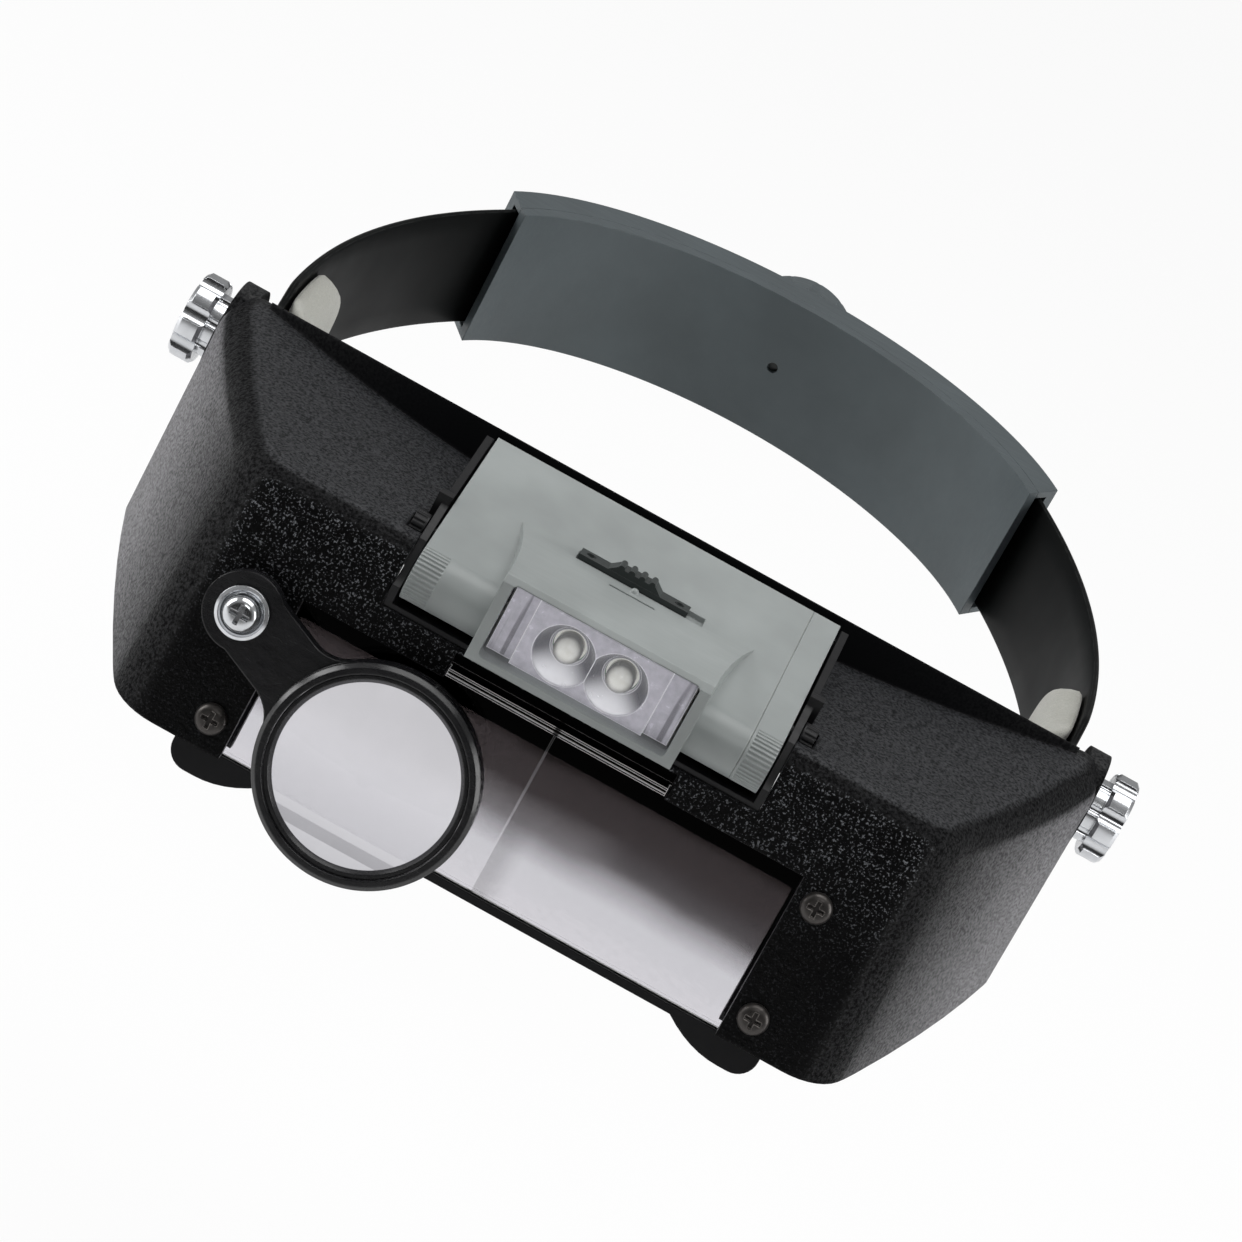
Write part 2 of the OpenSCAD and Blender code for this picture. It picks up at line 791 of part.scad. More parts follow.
// The hood over the LEDs, shrunk by "inset"
module hood_form(inset, front_y) {
    flare = 3.2;
    flare_steps = 8;
    bottom = -0.9;
    // the sides sweep in from the body, then run straight to the front
    side = [for (i = [0:flare_steps])
        [hood_half_w + flare * pow(1 - i / flare_steps, 2.5) - inset,
            hood_back_y + (hood_front_y - hood_back_y) * i / flare_steps]];
    intersection() {
        side_extrude(-40, 40)
            polygon([[front_y, bottom + inset], [front_y, hood_top_front - hood_edge - inset],
                [front_y + hood_edge, hood_top_front - inset],
                [hood_back_y, lamp_top(hood_back_y) - inset], [hood_back_y, bottom + inset]]);
        translate([0, 0, -20])
            linear_extrude(60)
                polygon(concat(side,
                    [for (i = [flare_steps:-1:0]) [-side[i][0], side[i][1]]]));
    }
}

split_z = 1.6;             // the base closes the housing below this height
window_lo = 0.7;
window_hi = 14.4;
window_half = hood_half_w - 2.2;

// The window's outline, grown by "extra", between two places along Y
module window_block(extra, y0, y1) {
    r = 0.9;
    half_w = window_half + extra;
    lo = window_lo - extra;
    hi = window_hi + extra;
    translate([0, y1, 0])
        rotate([90, 0, 0])
            linear_extrude(y1 - y0)
                union() {
                    translate([-half_w + r, lo]) square([2 * (half_w - r), hi - lo]);
                    translate([-half_w, lo + r]) square([2 * half_w, hi - lo - 2 * r]);
                    for (x = [-half_w + r, half_w - r])
                        for (z = [lo + r, hi - r])
                            translate([x, z]) circle(r = r, $fn = 48);
                }
}

// Grip grooves round the front of the tube
module tube_ribs(x0, x1) {
    for (a = [100:9:244])
        translate([0, tube_c[0], tube_c[1]])
            rotate([a - 90, 0, 0])
                translate([0, 0, tube_r + 0.12]) x_rod(x0, x1, 0.34);
}

module lamp_cavity() {
    difference() {
        union() {
            side_extrude(-lamp_half_w + lamp_wall, lamp_half_w - lamp_wall) lamp_profile(lamp_wall);
            hood_form(lamp_wall, hood_front_y + 3);
        }
        // the tube ends stay solid beside the hood
        both_sides() span([hood_half_w + 2, -80, -10], [40, -62, 20]);
    }
}

// On the hood's top, at a place along Y
module on_hood_top(y) {
    translate([0, y, hood_top(y)])
        rotate([-atan(hood_rise), 0, 0]) children();
}

// A shallow recess for the knob, with a slot through its floor for the stem
module switch_slot() {
    on_hood_top(switch_y) {
        span([-11.7, -1.9, -slot_deep], [12.9, 1.9, 6]);
        span([-4.1, -0.8, -6], [5.4, 0.8, 6]);
    }
}

slot_deep = 0.7;
base_screw_x = [-30, 22];
base_screw_y = -57.5;

module lamp_housing() {
    mark = [4.4, 0.7, 0.45];   // index line in front of the switch
    mark_y = -55.4;
    pip_y = -52.9;
    pip_r = 0.8;
    outline = 0.25;            // gap round the window
    color([0.60, 0.62, 0.61]) {
        difference() {
            union() {
                side_extrude(-lamp_half_w, door_x) lamp_profile(0);
                hood_form(0, hood_front_y);
            }
            lamp_cavity();
            // the base's and the door's places
            span([-lamp_half_w + lamp_wall - 0.01, -61, -5],
                [door_x + 1, lamp_back_y - lamp_wall + 0.01, split_z]);
            span([door_x - 3, -61, -5], [door_x + 3, lamp_back_y - lamp_wall, 8]);
            window_block(outline, hood_front_y - 1, hood_front_y + 4);
            switch_slot();
            on_hood_top(mark_y) span([-mark[0], -mark[1] / 2, -mark[2]], [mark[0], mark[1] / 2, 1]);
            tube_ribs(-lamp_half_w - 1, -lamp_half_w + 4.8);
            at_lamp_axis() x_rod(-40, -30, 1.28);
        }
        on_hood_top(pip_y) sphere(r = pip_r, $fn = 32);
        // posts that the base's screws bite into
        for (x = base_screw_x)
            translate([x, base_screw_y, lamp_bottom + 1])
                difference() {
                    cylinder(r = 1.8, h = 10.9);
                    translate([0, 0, -1]) cylinder(r = 1.03, h = 5);
                }
    }
}

module lamp_base() {
    color([0.57, 0.59, 0.58])
    difference() {
        span([-lamp_half_w + lamp_wall + 0.05, -60.9, lamp_bottom],
            [door_x - 3.1, lamp_back_y - lamp_wall - 0.05, lamp_bottom + 0.9]);
        for (x = base_screw_x) translate([x, base_screw_y, -5]) cylinder(r = 1.1, h = 10);
    }
}

module battery_door() {
    color([0.60, 0.62, 0.61])
    difference() {
        side_extrude(door_x + 0.05, lamp_half_w) lamp_profile(0);
        side_extrude(door_x - 1, lamp_half_w - lamp_wall)
            difference() {
                lamp_profile(lamp_wall);
                translate([-80, -10]) square([18.5, 40]);
            }
        tube_ribs(door_x + 0.6, lamp_half_w + 1);
        at_lamp_axis() x_rod(30, 40, 1.28);
    }
}

module lamp_window() {
    t = 1.3;
    rib_x = 13.4;
    color([0.85, 0.9, 0.92, 0.35]) {
        window_block(0, hood_front_y + 0.5, hood_front_y + 0.5 + t);
        both_sides()
            span([rib_x, hood_front_y + 0.4 + t, window_lo + 0.3],
                [rib_x + 1.4, hood_front_y + 3.3, window_hi - 0.3]);
    }
}

led_z = 6.9;
reflector_lo = 1;
reflector_front = hood_front_y + 2.2;
reflector_back = -68.2;

module led_reflector() {
    half_w = 12.6;
    cup_r = 5.5;
    flange_y = -72.3;
    color([0.85, 0.85, 0.87])
    difference() {
        union() {
            span([-half_w, reflector_front, reflector_lo], [half_w, reflector_back, 13.9]);
            // flange that fills the window behind its ribs
            span([-window_half + 0.2, flange_y, reflector_lo],
                [window_half - 0.2, flange_y + 1.5, 13.9]);
        }
        for (s = [-1, 1])
            translate([s * led_gap / 2, 0, led_z])
                rotate([-90, 0, 0]) {
                    translate([0, 0, reflector_front - 0.01])
                        cylinder(r1 = cup_r, r2 = 3.4, h = reflector_back - reflector_front - 0.6);
                    translate([0, 0, reflector_front]) cylinder(r = 3, h = 12);
                }
    }
}

module leds() {
    bulb_r = 2.5;
    color([0.93, 0.94, 0.90, 0.6])
    for (s = [-1, 1])
        translate([s * led_gap / 2, reflector_back + 1.2, led_z])
            rotate([90, 0, 0])
                rotate_extrude()
                    polygon(concat([[0, 0], [2.9, 0], [2.9, 1], [bulb_r, 1]],
                        arc_pts([0, 3.6], bulb_r, 0, 90, 10)));
}

module lamp_board() {
    color([0.10, 0.35, 0.18])
    span([-14, reflector_back + 1.3, 1.3], [14, reflector_back + 2.5, 12.9]);
}

cell_y = [-36.6, -47.6];
cell_z = 0.2 + cell_d / 2;
cell_x = -3.5;

module batteries() {
    color([0.22, 0.23, 0.26])
    for (y = cell_y)
        translate([cell_x, y, cell_z]) {
            x_rod(-cell_len / 2, cell_len / 2 - 1, cell_d / 2 - 0.05);
            x_rod(cell_len / 2 - 1.05, cell_len / 2, 1.9);
        }
}

module battery_contacts() {
    left_x = cell_x - cell_len / 2;
    right_x = cell_x + cell_len / 2;
    color([0.8, 0.78, 0.7]) {
        span([left_x - 0.7, cell_y[1] - 4, 1.5], [left_x - 0.3, cell_y[0] + 4, 9.5]);
        for (y = cell_y)
            span([right_x + 0.3, y - 4, 1.5], [right_x + 0.7, y + 4, 9.5]);
    }
}

module base_screws() {
    color([0.7, 0.7, 0.72])
    for (x = base_screw_x)
        translate([x, base_screw_y, lamp_bottom - 0.05])
            rotate([180, 0, 0]) pan_screw(1.7, 0.7, 1, 4);
}

module switch_contact() {
    color([0.8, 0.78, 0.7])
    span([-10, switch_y - 2.5, cell_z + cell_d / 2 + 0.2],
        [13, switch_y + 2.5, cell_z + cell_d / 2 + 0.5]);
}

module switch_knob() {
    half_l = 10.6;
    stem_half_l = 3;
    ridge_r = 0.6;
    ridge_step = 2;
    ridge_up = 2.1;
    hump = [5.2, 3.7];         // half-lengths of the raised grip, foot and top
    color([0.07, 0.09, 0.09])
    on_hood_top(switch_y)
        translate([-0.9, 0, 0]) {
            difference() {
                span([-half_l, -1.75, -slot_deep + 0.1], [half_l, 1.75, 1]);
                for (s = [-1, 1]) translate([s * 8.6, 0, 1]) sphere(r = 0.9, $fn = 32);
            }
            span([-stem_half_l, -0.7, -2], [stem_half_l, 0.7, 0]);
            // grip with rounded ridges across it
            rotate([90, 0, 0])
                translate([0, 0, -1.7])
                    linear_extrude(3.4)
                        union() {
                            polygon([[-hump[0], 0.9], [hump[0], 0.9],
                                [hump[1], ridge_up], [-hump[1], ridge_up]]);
                            for (i = [-1.5:1.5])
                                translate([i * ridge_step, ridge_up]) circle(r = ridge_r, $fn = 24);
                        }
        }
}

// ---------- rear adjuster ----------

housing_lo = strap_lo - 1.7;
housing_hi = strap_hi + 1.7;

// Everything between the housing's two slanted ends
module housing_ends() {
    translate([0, 0, -50])
        linear_extrude(100)
            polygon([[-54.05, 98], [54.05, 98], [93.6, 180], [-93.6, 180]]);
}

module round_about(c, r, z0, z1) {
    translate([c[0], c[1], z0]) cylinder(r = r, h = z1 - z0, $fn = 200);
}

module rear_housing_outer() {
    outer_c = [0, 92.5];
    outer_r = 73.5;
    boss_r = 12.5;
    boss_y = 166.6;
    color([0.27, 0.30, 0.31])
    difference() {
        union() {
            intersection() {
                difference() {
                    round_about(outer_c, outer_r, housing_lo, housing_hi);
                    round_about(tail_c, cavity_in, housing_lo - 1, housing_hi + 1);
                    round_about(tail_c, cavity_out, strap_lo - 0.2, strap_hi + 0.2);
                }
                housing_ends();
            }
            translate([0, 0, band_mid_z]) y_rod(161, boss_y, boss_r);
        }
        translate([0, 0, band_mid_z]) y_rod(150, 180, 4.08);
    }
}

module rear_housing_inner() {
    inner_c = [0, 85.5];
    inner_r = 66.5;
    color([0.27, 0.30, 0.31])
    difference() {
        intersection() {
            difference() {
                round_about(tail_c, cavity_in - 0.1, housing_lo, housing_hi);
                round_about(inner_c, inner_r, housing_lo - 1, housing_hi + 1);
            }
            housing_ends();
            span([-far, 98, -far], [far, far, far]);
        }
        translate([0, 0, band_mid_z]) y_rod(153.6, 170, 2.56);
        translate([0, 0, band_mid_z]) y_rod(140, 170, 1.2);
    }
}

module adjuster_knob() {
    back = 167;
    front = 179.4;
    grips = 14;
    edge = 1.4;
    color([0.22, 0.25, 0.26])
    translate([0, 0, band_mid_z])
        difference() {
            rotate([-90, 0, 0])
                rotate_extrude()
                    polygon([[2.9, back], [knob_r - 0.6, back], [knob_r, back + 0.8],
                        [knob_r - 0.8, front - edge], [knob_r - 2.2, front], [6, front],
                        [5, front - 2], [4.2, front - 2], [4.2, front - 5], [2.9, front - 5]]);
            for (i = [0:grips - 1])
                rotate([0, i * 360 / grips, 0])
                    translate([0, 0, knob_r + 0.9]) y_rod(back - 1, front + 1, 1.8);
        }
}

function involute(rb, t) = rb * [cos(t) + t * PI / 180 * sin(t), sin(t) - t * PI / 180 * cos(t)];
function turned(p, a) = [p[0] * cos(a) - p[1] * sin(a), p[0] * sin(a) + p[1] * cos(a)];

// Pinion outline: involute flanks with a 25 degree pressure angle
module pinion_shape() {
    pressure = 25;
    base_r = pinion_r * cos(pressure);
    tip_r = 7;
    root_r = 4.7;
    slack = 0.11;
    steps = 5;
    tip_t = sqrt(tip_r * tip_r / (base_r * base_r) - 1) * 180 / PI;
    flank_at_pitch = tan(pressure) * 180 / PI - pressure;
    half_tooth = 90 / pinion_teeth - slack / pinion_r * 180 / PI / 2;
    start = -half_tooth - flank_at_pitch;
    circle(r = root_r);
    for (i = [0:pinion_teeth - 1])
        rotate([0, 0, 90 + i * 360 / pinion_teeth])
            polygon(concat(
                [[0, 0]],
                [for (k = [0:steps]) turned(involute(base_r, tip_t * k / steps), start)],
                [for (k = [steps:-1:0])
                    let (p = turned(involute(base_r, tip_t * k / steps), start)) [p[0], -p[1]]]));
}

module rack_pinion() {
    color([0.75, 0.75, 0.72])
    translate([0, 0, band_mid_z])
        difference() {
            union() {
                translate([0, 156.9, 0])
                    rotate([-90, 0, 0])
                        linear_extrude(3) pinion_shape();
                y_rod(153.8, 157, 2.5);
                y_rod(159.8, 166.9, 4);
                y_rod(166.8, 174.3, 2.8);
            }
            y_rod(165, 180, 1.55);
        }
}

module knob_screw() {
    color([0.7, 0.7, 0.72])
    translate([0, 174.5, band_mid_z])
        rotate([-90, 0, 0]) pan_screw(3.4, 2, 1.45, 9);
}

module knob_washer() {
    color([0.85, 0.85, 0.82])
    translate([0, 0, band_mid_z])
        difference() {
            y_rod(166.65, 166.95, 9);
            y_rod(160, 170, 4.3);
        }
}

// Rack tail of a strap, seen from above about tail_c. "side" is +1 for the left strap, which
// runs on the inner layer with its teeth below the pinion, and -1 for the right strap.
module rack_tail(side, r) {
    reach = 61;                // along the arc, towards its own arm
    past = 30;                 // along the arc, beyond the pinion
    slot_reach = 25;
    slot_clear = 8.1;
    pitch_z = band_mid_z - side * pinion_r;
    root = 1.35;
    tip = 1.0;
    half_tooth = tooth_pitch / 4 - 0.06;
    flank = tan(25);
    deg = 180 / PI / r;
    teeth = 6;
    slot_lo = side > 0 ? pitch_z - root : band_mid_z - slot_clear;
    slot_hi = side > 0 ? band_mid_z + slot_clear : pitch_z + root;
    a_far = 90 + side * reach * deg;
    a_near = 90 - side * past * deg;
    // how far past the slot's edge each tooth's root is buried
    buried = 0.3;
    root_half = half_tooth + root * flank;
    tip_half = half_tooth - tip * flank;
    difference() {
        arc_wall(tail_c, r - strap_t / 2, r + strap_t / 2, strap_lo, strap_hi,
            min(a_far, a_near), max(a_far, a_near));
        // the slot, less the teeth that stand into it; a gap between teeth faces the pinion's tooth
        difference() {
            arc_wall(tail_c, r - 3, r + 3, slot_lo, slot_hi, 90 - slot_reach * deg, 90 + slot_reach * deg);
            translate([tail_c[0], tail_c[1], pitch_z])
                for (i = [-teeth:teeth - 1])
                    rotate([0, 0, (i + 0.5) * tooth_pitch * deg])
                        translate([0, r - 6, 0])
                            rotate([-90, 0, 0])
                                linear_extrude(12)
                                    polygon([[-root_half, side * (root + buried)],
                                        [root_half, side * (root + buried)],
                                        [tip_half, -side * tip], [-tip_half, -side * tip]]);
        }
    }
}

module left_rack_tail() {
    color([0.10, 0.12, 0.12]) rack_tail(1, layer_a_r);
}

module right_rack_tail() {
    color([0.10, 0.12, 0.12]) rack_tail(-1, layer_b_r);
}

// ---------- what is drawn ----------

front_band();
forehead_pad();
left_strap();
right_strap();
strap_rivets();
pivot_blocks();
pivot_inserts();
friction_washers();
left_thumb_screw();
right_thumb_screw();
visor_shell();
lens_plate();
lens_frame();
window_screws();
flip_hinge_pins();
loupe_pivot_screw();
loupe_cup_washer();
loupe_spring_washer();
loupe_pivot_nut();
loupe_arm();
loupe_lens();
loupe_retaining_ring();
flip_frame();
flip_lens();
lamp_bracket();
lamp_pivot_knobs();
lamp_housing();
lamp_base();
battery_door();
lamp_window();
led_reflector();
leds();
lamp_board();
batteries();
battery_contacts();
base_screws();
switch_contact();
switch_knob();
rear_housing_outer();
rear_housing_inner();
adjuster_knob();
rack_pinion();
knob_screw();
knob_washer();
left_rack_tail();
right_rack_tail();
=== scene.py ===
"""Looks of a head visor magnifier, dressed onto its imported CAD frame.

CAD nodes keep their shapes and get procedural materials. The pieces that bend or give, which are
the two strap arms and the forehead pad, are built here and stand for their plain CAD solids.
"""

import json
import math

import bmesh
import bpy
import numpy as np
from mathutils import Matrix, Vector

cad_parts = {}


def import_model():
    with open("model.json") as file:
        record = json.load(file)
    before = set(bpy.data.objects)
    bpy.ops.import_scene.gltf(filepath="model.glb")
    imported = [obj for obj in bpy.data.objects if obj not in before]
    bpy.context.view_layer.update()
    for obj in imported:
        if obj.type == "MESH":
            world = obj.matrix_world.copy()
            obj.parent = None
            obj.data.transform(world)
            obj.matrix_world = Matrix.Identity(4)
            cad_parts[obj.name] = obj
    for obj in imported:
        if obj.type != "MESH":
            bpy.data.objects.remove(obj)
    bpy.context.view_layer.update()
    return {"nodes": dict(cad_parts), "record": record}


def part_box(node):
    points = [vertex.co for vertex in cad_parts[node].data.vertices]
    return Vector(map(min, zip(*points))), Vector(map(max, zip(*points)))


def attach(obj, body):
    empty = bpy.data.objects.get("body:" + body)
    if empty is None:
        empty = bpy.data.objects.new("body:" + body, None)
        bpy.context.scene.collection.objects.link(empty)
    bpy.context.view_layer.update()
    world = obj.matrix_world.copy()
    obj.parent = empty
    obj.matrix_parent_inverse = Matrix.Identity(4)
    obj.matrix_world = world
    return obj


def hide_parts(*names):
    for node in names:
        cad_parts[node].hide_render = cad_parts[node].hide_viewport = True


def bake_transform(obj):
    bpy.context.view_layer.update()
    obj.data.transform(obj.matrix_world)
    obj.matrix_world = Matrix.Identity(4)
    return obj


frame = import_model()

MM = 0.001
FACE_LEAN = math.radians(12)
FACE_UP = Vector((0, math.sin(FACE_LEAN), math.cos(FACE_LEAN)))   # up the visor's front face

# ---------------------------------------------------------------- shader helpers


def shade(r, g, b):
    """A colour given as it looks on a display, 0 to 255, as linear light."""
    linear = [c / 255 / 12.92 if c < 10.3 else ((c / 255 + 0.055) / 1.055) ** 2.4 for c in (r, g, b)]
    return (*linear, 1.0)


def scaled(colour, factor):
    return (*[min(1.0, c * factor) for c in colour[:3]], 1.0)


class Shader:
    """A node material under construction, with its texture space fixed to the object."""

    def __init__(self, name):
        self.material = bpy.data.materials.new(name)
        self.material.use_nodes = True
        self.tree = self.material.node_tree
        self.tree.nodes.clear()
        self.output = self.tree.nodes.new("ShaderNodeOutputMaterial")
        coordinates = self.tree.nodes.new("ShaderNodeTexCoord")
        self.place = coordinates.outputs["Object"]
        self.facing = coordinates.outputs["Normal"]

    def feed(self, socket, value):
        if isinstance(value, bpy.types.NodeSocket):
            self.tree.links.new(value, socket)
        else:
            socket.default_value = value

    def node(self, kind, settings=None, inputs=None):
        made = self.tree.nodes.new(kind)
        for key, value in (settings or {}).items():
            setattr(made, key, value)
        for key, value in (inputs or {}).items():
            self.feed(made.inputs[key], value)
        return made

    def stretched(self, x, y, z):
        """The object's texture space, scaled along each axis."""
        return self.node("ShaderNodeVectorMath", {"operation": "MULTIPLY"},
                         {0: self.place, 1: (x, y, z)}).outputs[0]

    def noise(self, size, detail=2.0, rough=0.55, space=None, warp=0.0):
        """Noise with features of about "size" metres, 0 to 1."""
        inputs = {"Vector": space or self.place, "Scale": 1 / size, "Detail": detail,
                  "Roughness": rough, "Distortion": warp}
        return self.node("ShaderNodeTexNoise", None, inputs).outputs[0]

    def cells(self, size, feature="F1", space=None):
        """Distance inside cells of about "size" metres."""
        return self.node("ShaderNodeTexVoronoi", {"feature": feature},
                         {"Vector": space or self.place, "Scale": 1 / size}).outputs["Distance"]

    def fit(self, value, low, high, to_low=0.0, to_high=1.0, smooth=False):
        """Value taken from low...high to to_low...to_high, and held there."""
        kind = "SMOOTHSTEP" if smooth else "LINEAR"
        inputs = {0: value, 1: low, 2: high, 3: to_low, 4: to_high}
        return self.node("ShaderNodeMapRange", {"interpolation_type": kind}, inputs).outputs[0]

    def math(self, operation, a, b=0.0):
        return self.node("ShaderNodeMath", {"operation": operation}, {0: a, 1: b}).outputs[0]

    def blend(self, share, a, b):
        """Colour a at share 0, colour b at share 1."""
        made = self.node("ShaderNodeMix", {"data_type": "RGBA"})
        self.feed(made.inputs[0], share)
        self.feed(made.inputs[6], a)
        self.feed(made.inputs[7], b)
        return made.outputs[2]

    def mix(self, share, a, b):
        """Value a at share 0, value b at share 1."""
        made = self.node("ShaderNodeMix", {"data_type": "FLOAT"})
        self.feed(made.inputs[0], share)
        self.feed(made.inputs[2], a)
        self.feed(made.inputs[3], b)
        return made.outputs[0]

    def ramp(self, value, stops):
        """Colours along a value from 0 to 1, given as (place, colour)."""
        made = self.node("ShaderNodeValToRGB", None, {0: value})
        elements = made.color_ramp.elements
        while len(elements) < len(stops):
            elements.new(1.0)
        for element, (place, colour) in zip(elements, stops):
            element.position = place
            element.color = colour
        return made.outputs[0]

    def dot(self, vector, direction):
        return self.node("ShaderNodeVectorMath", {"operation": "DOT_PRODUCT"},
                         {0: vector, 1: direction}).outputs["Value"]

    def softened(self, radius):
        """Normals rounded over the edges, as a moulding's edges are."""
        return self.node("ShaderNodeBevel", {"samples": 6}, {"Radius": radius}).outputs[0]

    def bump(self, height, depth, under=None, strength=1.0):
        inputs = {"Height": height, "Distance": depth, "Strength": strength}
        if under is not None:
            inputs["Normal"] = under
        return self.node("ShaderNodeBump", None, inputs).outputs[0]

    def edges(self, softened):
        """1 on edges and 0 on flats, from how far the softened normal turns away."""
        geometry = self.node("ShaderNodeNewGeometry").outputs["Normal"]
        turn = self.dot(softened, geometry)
        return self.fit(turn, 0.995, 0.86)

    def surface(self, **inputs):
        """A Principled surface on the output. Input names use _ for a space."""
        principled = self.node("ShaderNodeBsdfPrincipled")
        for key, value in inputs.items():
            self.feed(principled.inputs[key.replace("_", " ")], value)
        self.tree.links.new(principled.outputs[0], self.output.inputs["Surface"])
        return principled

    def finish(self, colour, roughness):
        """The material, with the plain values that a solid view shows."""
        self.material.diffuse_color = colour
        self.material.roughness = roughness
        return self.material


# ---------------------------------------------------------------- materials


def moulded(name, colour, rough, grain=0.5 * MM, depth=0.02 * MM, edge=0.3 * MM, shine=0.5, wear=0.5):
    """Injection-moulded plastic: spark-eroded grain, faint flow clouds, rounded and rubbed edges."""
    s = Shader(name)
    soft = s.softened(edge)
    texture = s.noise(grain, 3.0, 0.6)
    clouds = s.noise(22 * MM, 3.0, 0.6)
    scuffs = s.noise(1.0 * MM, 4.0, 0.7, s.stretched(0.12, 1.0, 0.5), 0.4)
    rubbed = s.math("MULTIPLY", s.edges(soft), s.fit(s.noise(2.5 * MM, 4.0), 0.42, 0.62))
    tinted = s.blend(s.fit(clouds, 0.3, 0.7), scaled(colour, 0.88), scaled(colour, 1.12))
    tinted = s.blend(s.math("MULTIPLY", rubbed, wear), tinted, scaled(colour, 1.9))
    satin = s.fit(scuffs, 0.35, 0.7, rough + 0.05, rough - 0.07)
    satin = s.math("ADD", satin, s.fit(clouds, 0.35, 0.65, -0.03, 0.03))
    s.surface(Base_Color=tinted, Roughness=satin, Specular_IOR_Level=shine,
              Normal=s.bump(texture, depth, soft))
    return s.finish(colour, rough)


def visor_black():
    """Grained black moulding, with painted light: paler side walls, painted shade on the front, rounded
    edges and rim wall, and painted glints, fine on the roof and dense under the front ridge.
    """
    colour = shade(34, 35, 38)
    s = Shader("visor_black")
    soft = s.softened(0.6 * MM)
    faces = [s.fit(s.math("ABSOLUTE", s.dot(s.facing, direction)), 0.86, 0.965, smooth=True)
             for direction in ((1, 0, 0), (0, 0.04, 1), (0, -math.cos(FACE_LEAN), math.sin(FACE_LEAN)))]
    side, roof, front = faces
    flat = s.math("MINIMUM", s.math("ADD", s.math("ADD", side, roof), front), 1.0)
    from_rim = s.node("ShaderNodeVectorMath", {"operation": "DISTANCE"},
                      {0: s.stretched(1, 1, 0), 1: (0, rim_centre_y, 0)}).outputs["Value"]
    plain = s.fit(from_rim, rim_radius + 2.5 * MM, rim_radius + 2.3 * MM, 1.0, 0.1)
    fine = s.noise(0.55 * MM, 3.0, 0.7)
    pebble = s.noise(0.8 * MM, 3.0, 0.75)
    height = s.mix(front, s.math("MULTIPLY", fine, 5.0), s.math("MULTIPLY", pebble, 3.2))
    height = s.math("MULTIPLY", height, plain)
    clouds = s.noise(30 * MM, 3.0, 0.6)
    satin = s.mix(front, s.fit(clouds, 0.3, 0.7, 0.48, 0.56), s.fit(clouds, 0.3, 0.7, 0.30, 0.38))
    # painted shade and light: rounded edges and the front are darkest, the side walls palest towards the
    # back
    side_light_to_back = s.fit(s.dot(s.place, (0, 1, 0)), -70 * MM, -25 * MM, 0.0, 1.0, True)
    base = s.blend(s.math("MULTIPLY", roof, 0.8), scaled(colour, 0.35), scaled(colour, 1.5))
    base = s.blend(s.math("MULTIPLY", side, s.fit(side_light_to_back, 0, 1, 0.42, 1.0)), base, shade(133, 132, 135))
    base = s.blend(front, base, scaled(colour, 0.10))
    mottle = s.fit(s.noise(0.6 * MM, 2.0, 0.6), 0.38, 0.62)
    base = s.blend(mottle, s.blend(0.65, base, (0, 0, 0, 1)), base)
    # painted glints: pale flecks, sparse on the flats and densest just under the front ridge
    glints_under_ridge = s.fit(s.dot(s.place, (0, 0, 1)), -22 * MM, 1 * MM, 0.0, 1.0, True)
    glints_under_ridge = s.math("MULTIPLY", glints_under_ridge, 0.55)
    share = s.mix(front, s.math("MULTIPLY", flat, 0.22), s.math("ADD", glints_under_ridge, 0.05))
    painted_glints = s.fit(s.noise(0.42 * MM, 2.0, 0.6), 0.57, 0.67)
    painted_glints = s.math("MULTIPLY", s.math("MULTIPLY", painted_glints, share), plain)
    tinted = s.blend(painted_glints, base, s.blend(front, shade(92, 95, 99), shade(158, 161, 166)))
    # painted shade on the smooth rim wall
    tinted = s.blend(s.fit(plain, 0.9, 0.2), tinted, scaled(colour, 0.3))
    s.surface(Base_Color=tinted, Roughness=satin,
              Specular_IOR_Level=s.mix(front, s.math("MULTIPLY", s.fit(flat, 0, 1, 0.3, 1.0),
                                                     s.fit(mottle, 0, 1, 0.12, 0.60)), 0.12),
              Normal=s.bump(height, 0.06 * MM, soft))
    return s.finish(colour, 0.45)


def polished(name, colour, rough, edge=0.15 * MM, waviness=0.004 * MM, scratches=0.25):
    """Plated or turned metal: hairline scratches, faint waviness and smudges."""
    s = Shader(name)
    soft = s.softened(edge)
    hairlines = s.noise(0.35 * MM, 2.0, 0.5, s.stretched(0.05, 1.0, 1.0), 0.3)
    smudges = s.noise(4 * MM, 4.0, 0.65)
    waves = s.noise(2.5 * MM, 1.0)
    uneven = s.math("ADD", s.fit(smudges, 0.4, 0.75, rough, rough + 0.10),
                    s.math("MULTIPLY", s.fit(hairlines, 0.55, 0.8), scratches * rough))
    tinted = s.blend(s.fit(smudges, 0.35, 0.8), colour, scaled(colour, 0.82))
    s.surface(Base_Color=tinted, Metallic=1.0, Roughness=uneven,
              Normal=s.bump(waves, waviness, soft))
    return s.finish(colour, rough)


def dark_screw():
    """Blackened screw, rubbed to steel on its edges and recess."""
    colour = shade(74, 71, 69)
    s = Shader("dark_screw")
    soft = s.softened(0.25 * MM)
    rubbed = s.math("MULTIPLY", s.edges(soft), s.fit(s.noise(0.6 * MM, 3.0), 0.35, 0.6))
    tinted = s.blend(rubbed, colour, shade(165, 160, 155))
    s.surface(Base_Color=tinted, Metallic=0.75,
              Roughness=s.fit(s.noise(0.9 * MM, 4.0), 0.3, 0.7, 0.26, 0.44),
              Normal=s.bump(s.noise(0.3 * MM), 0.006 * MM, soft))
    return s.finish(colour, 0.35)


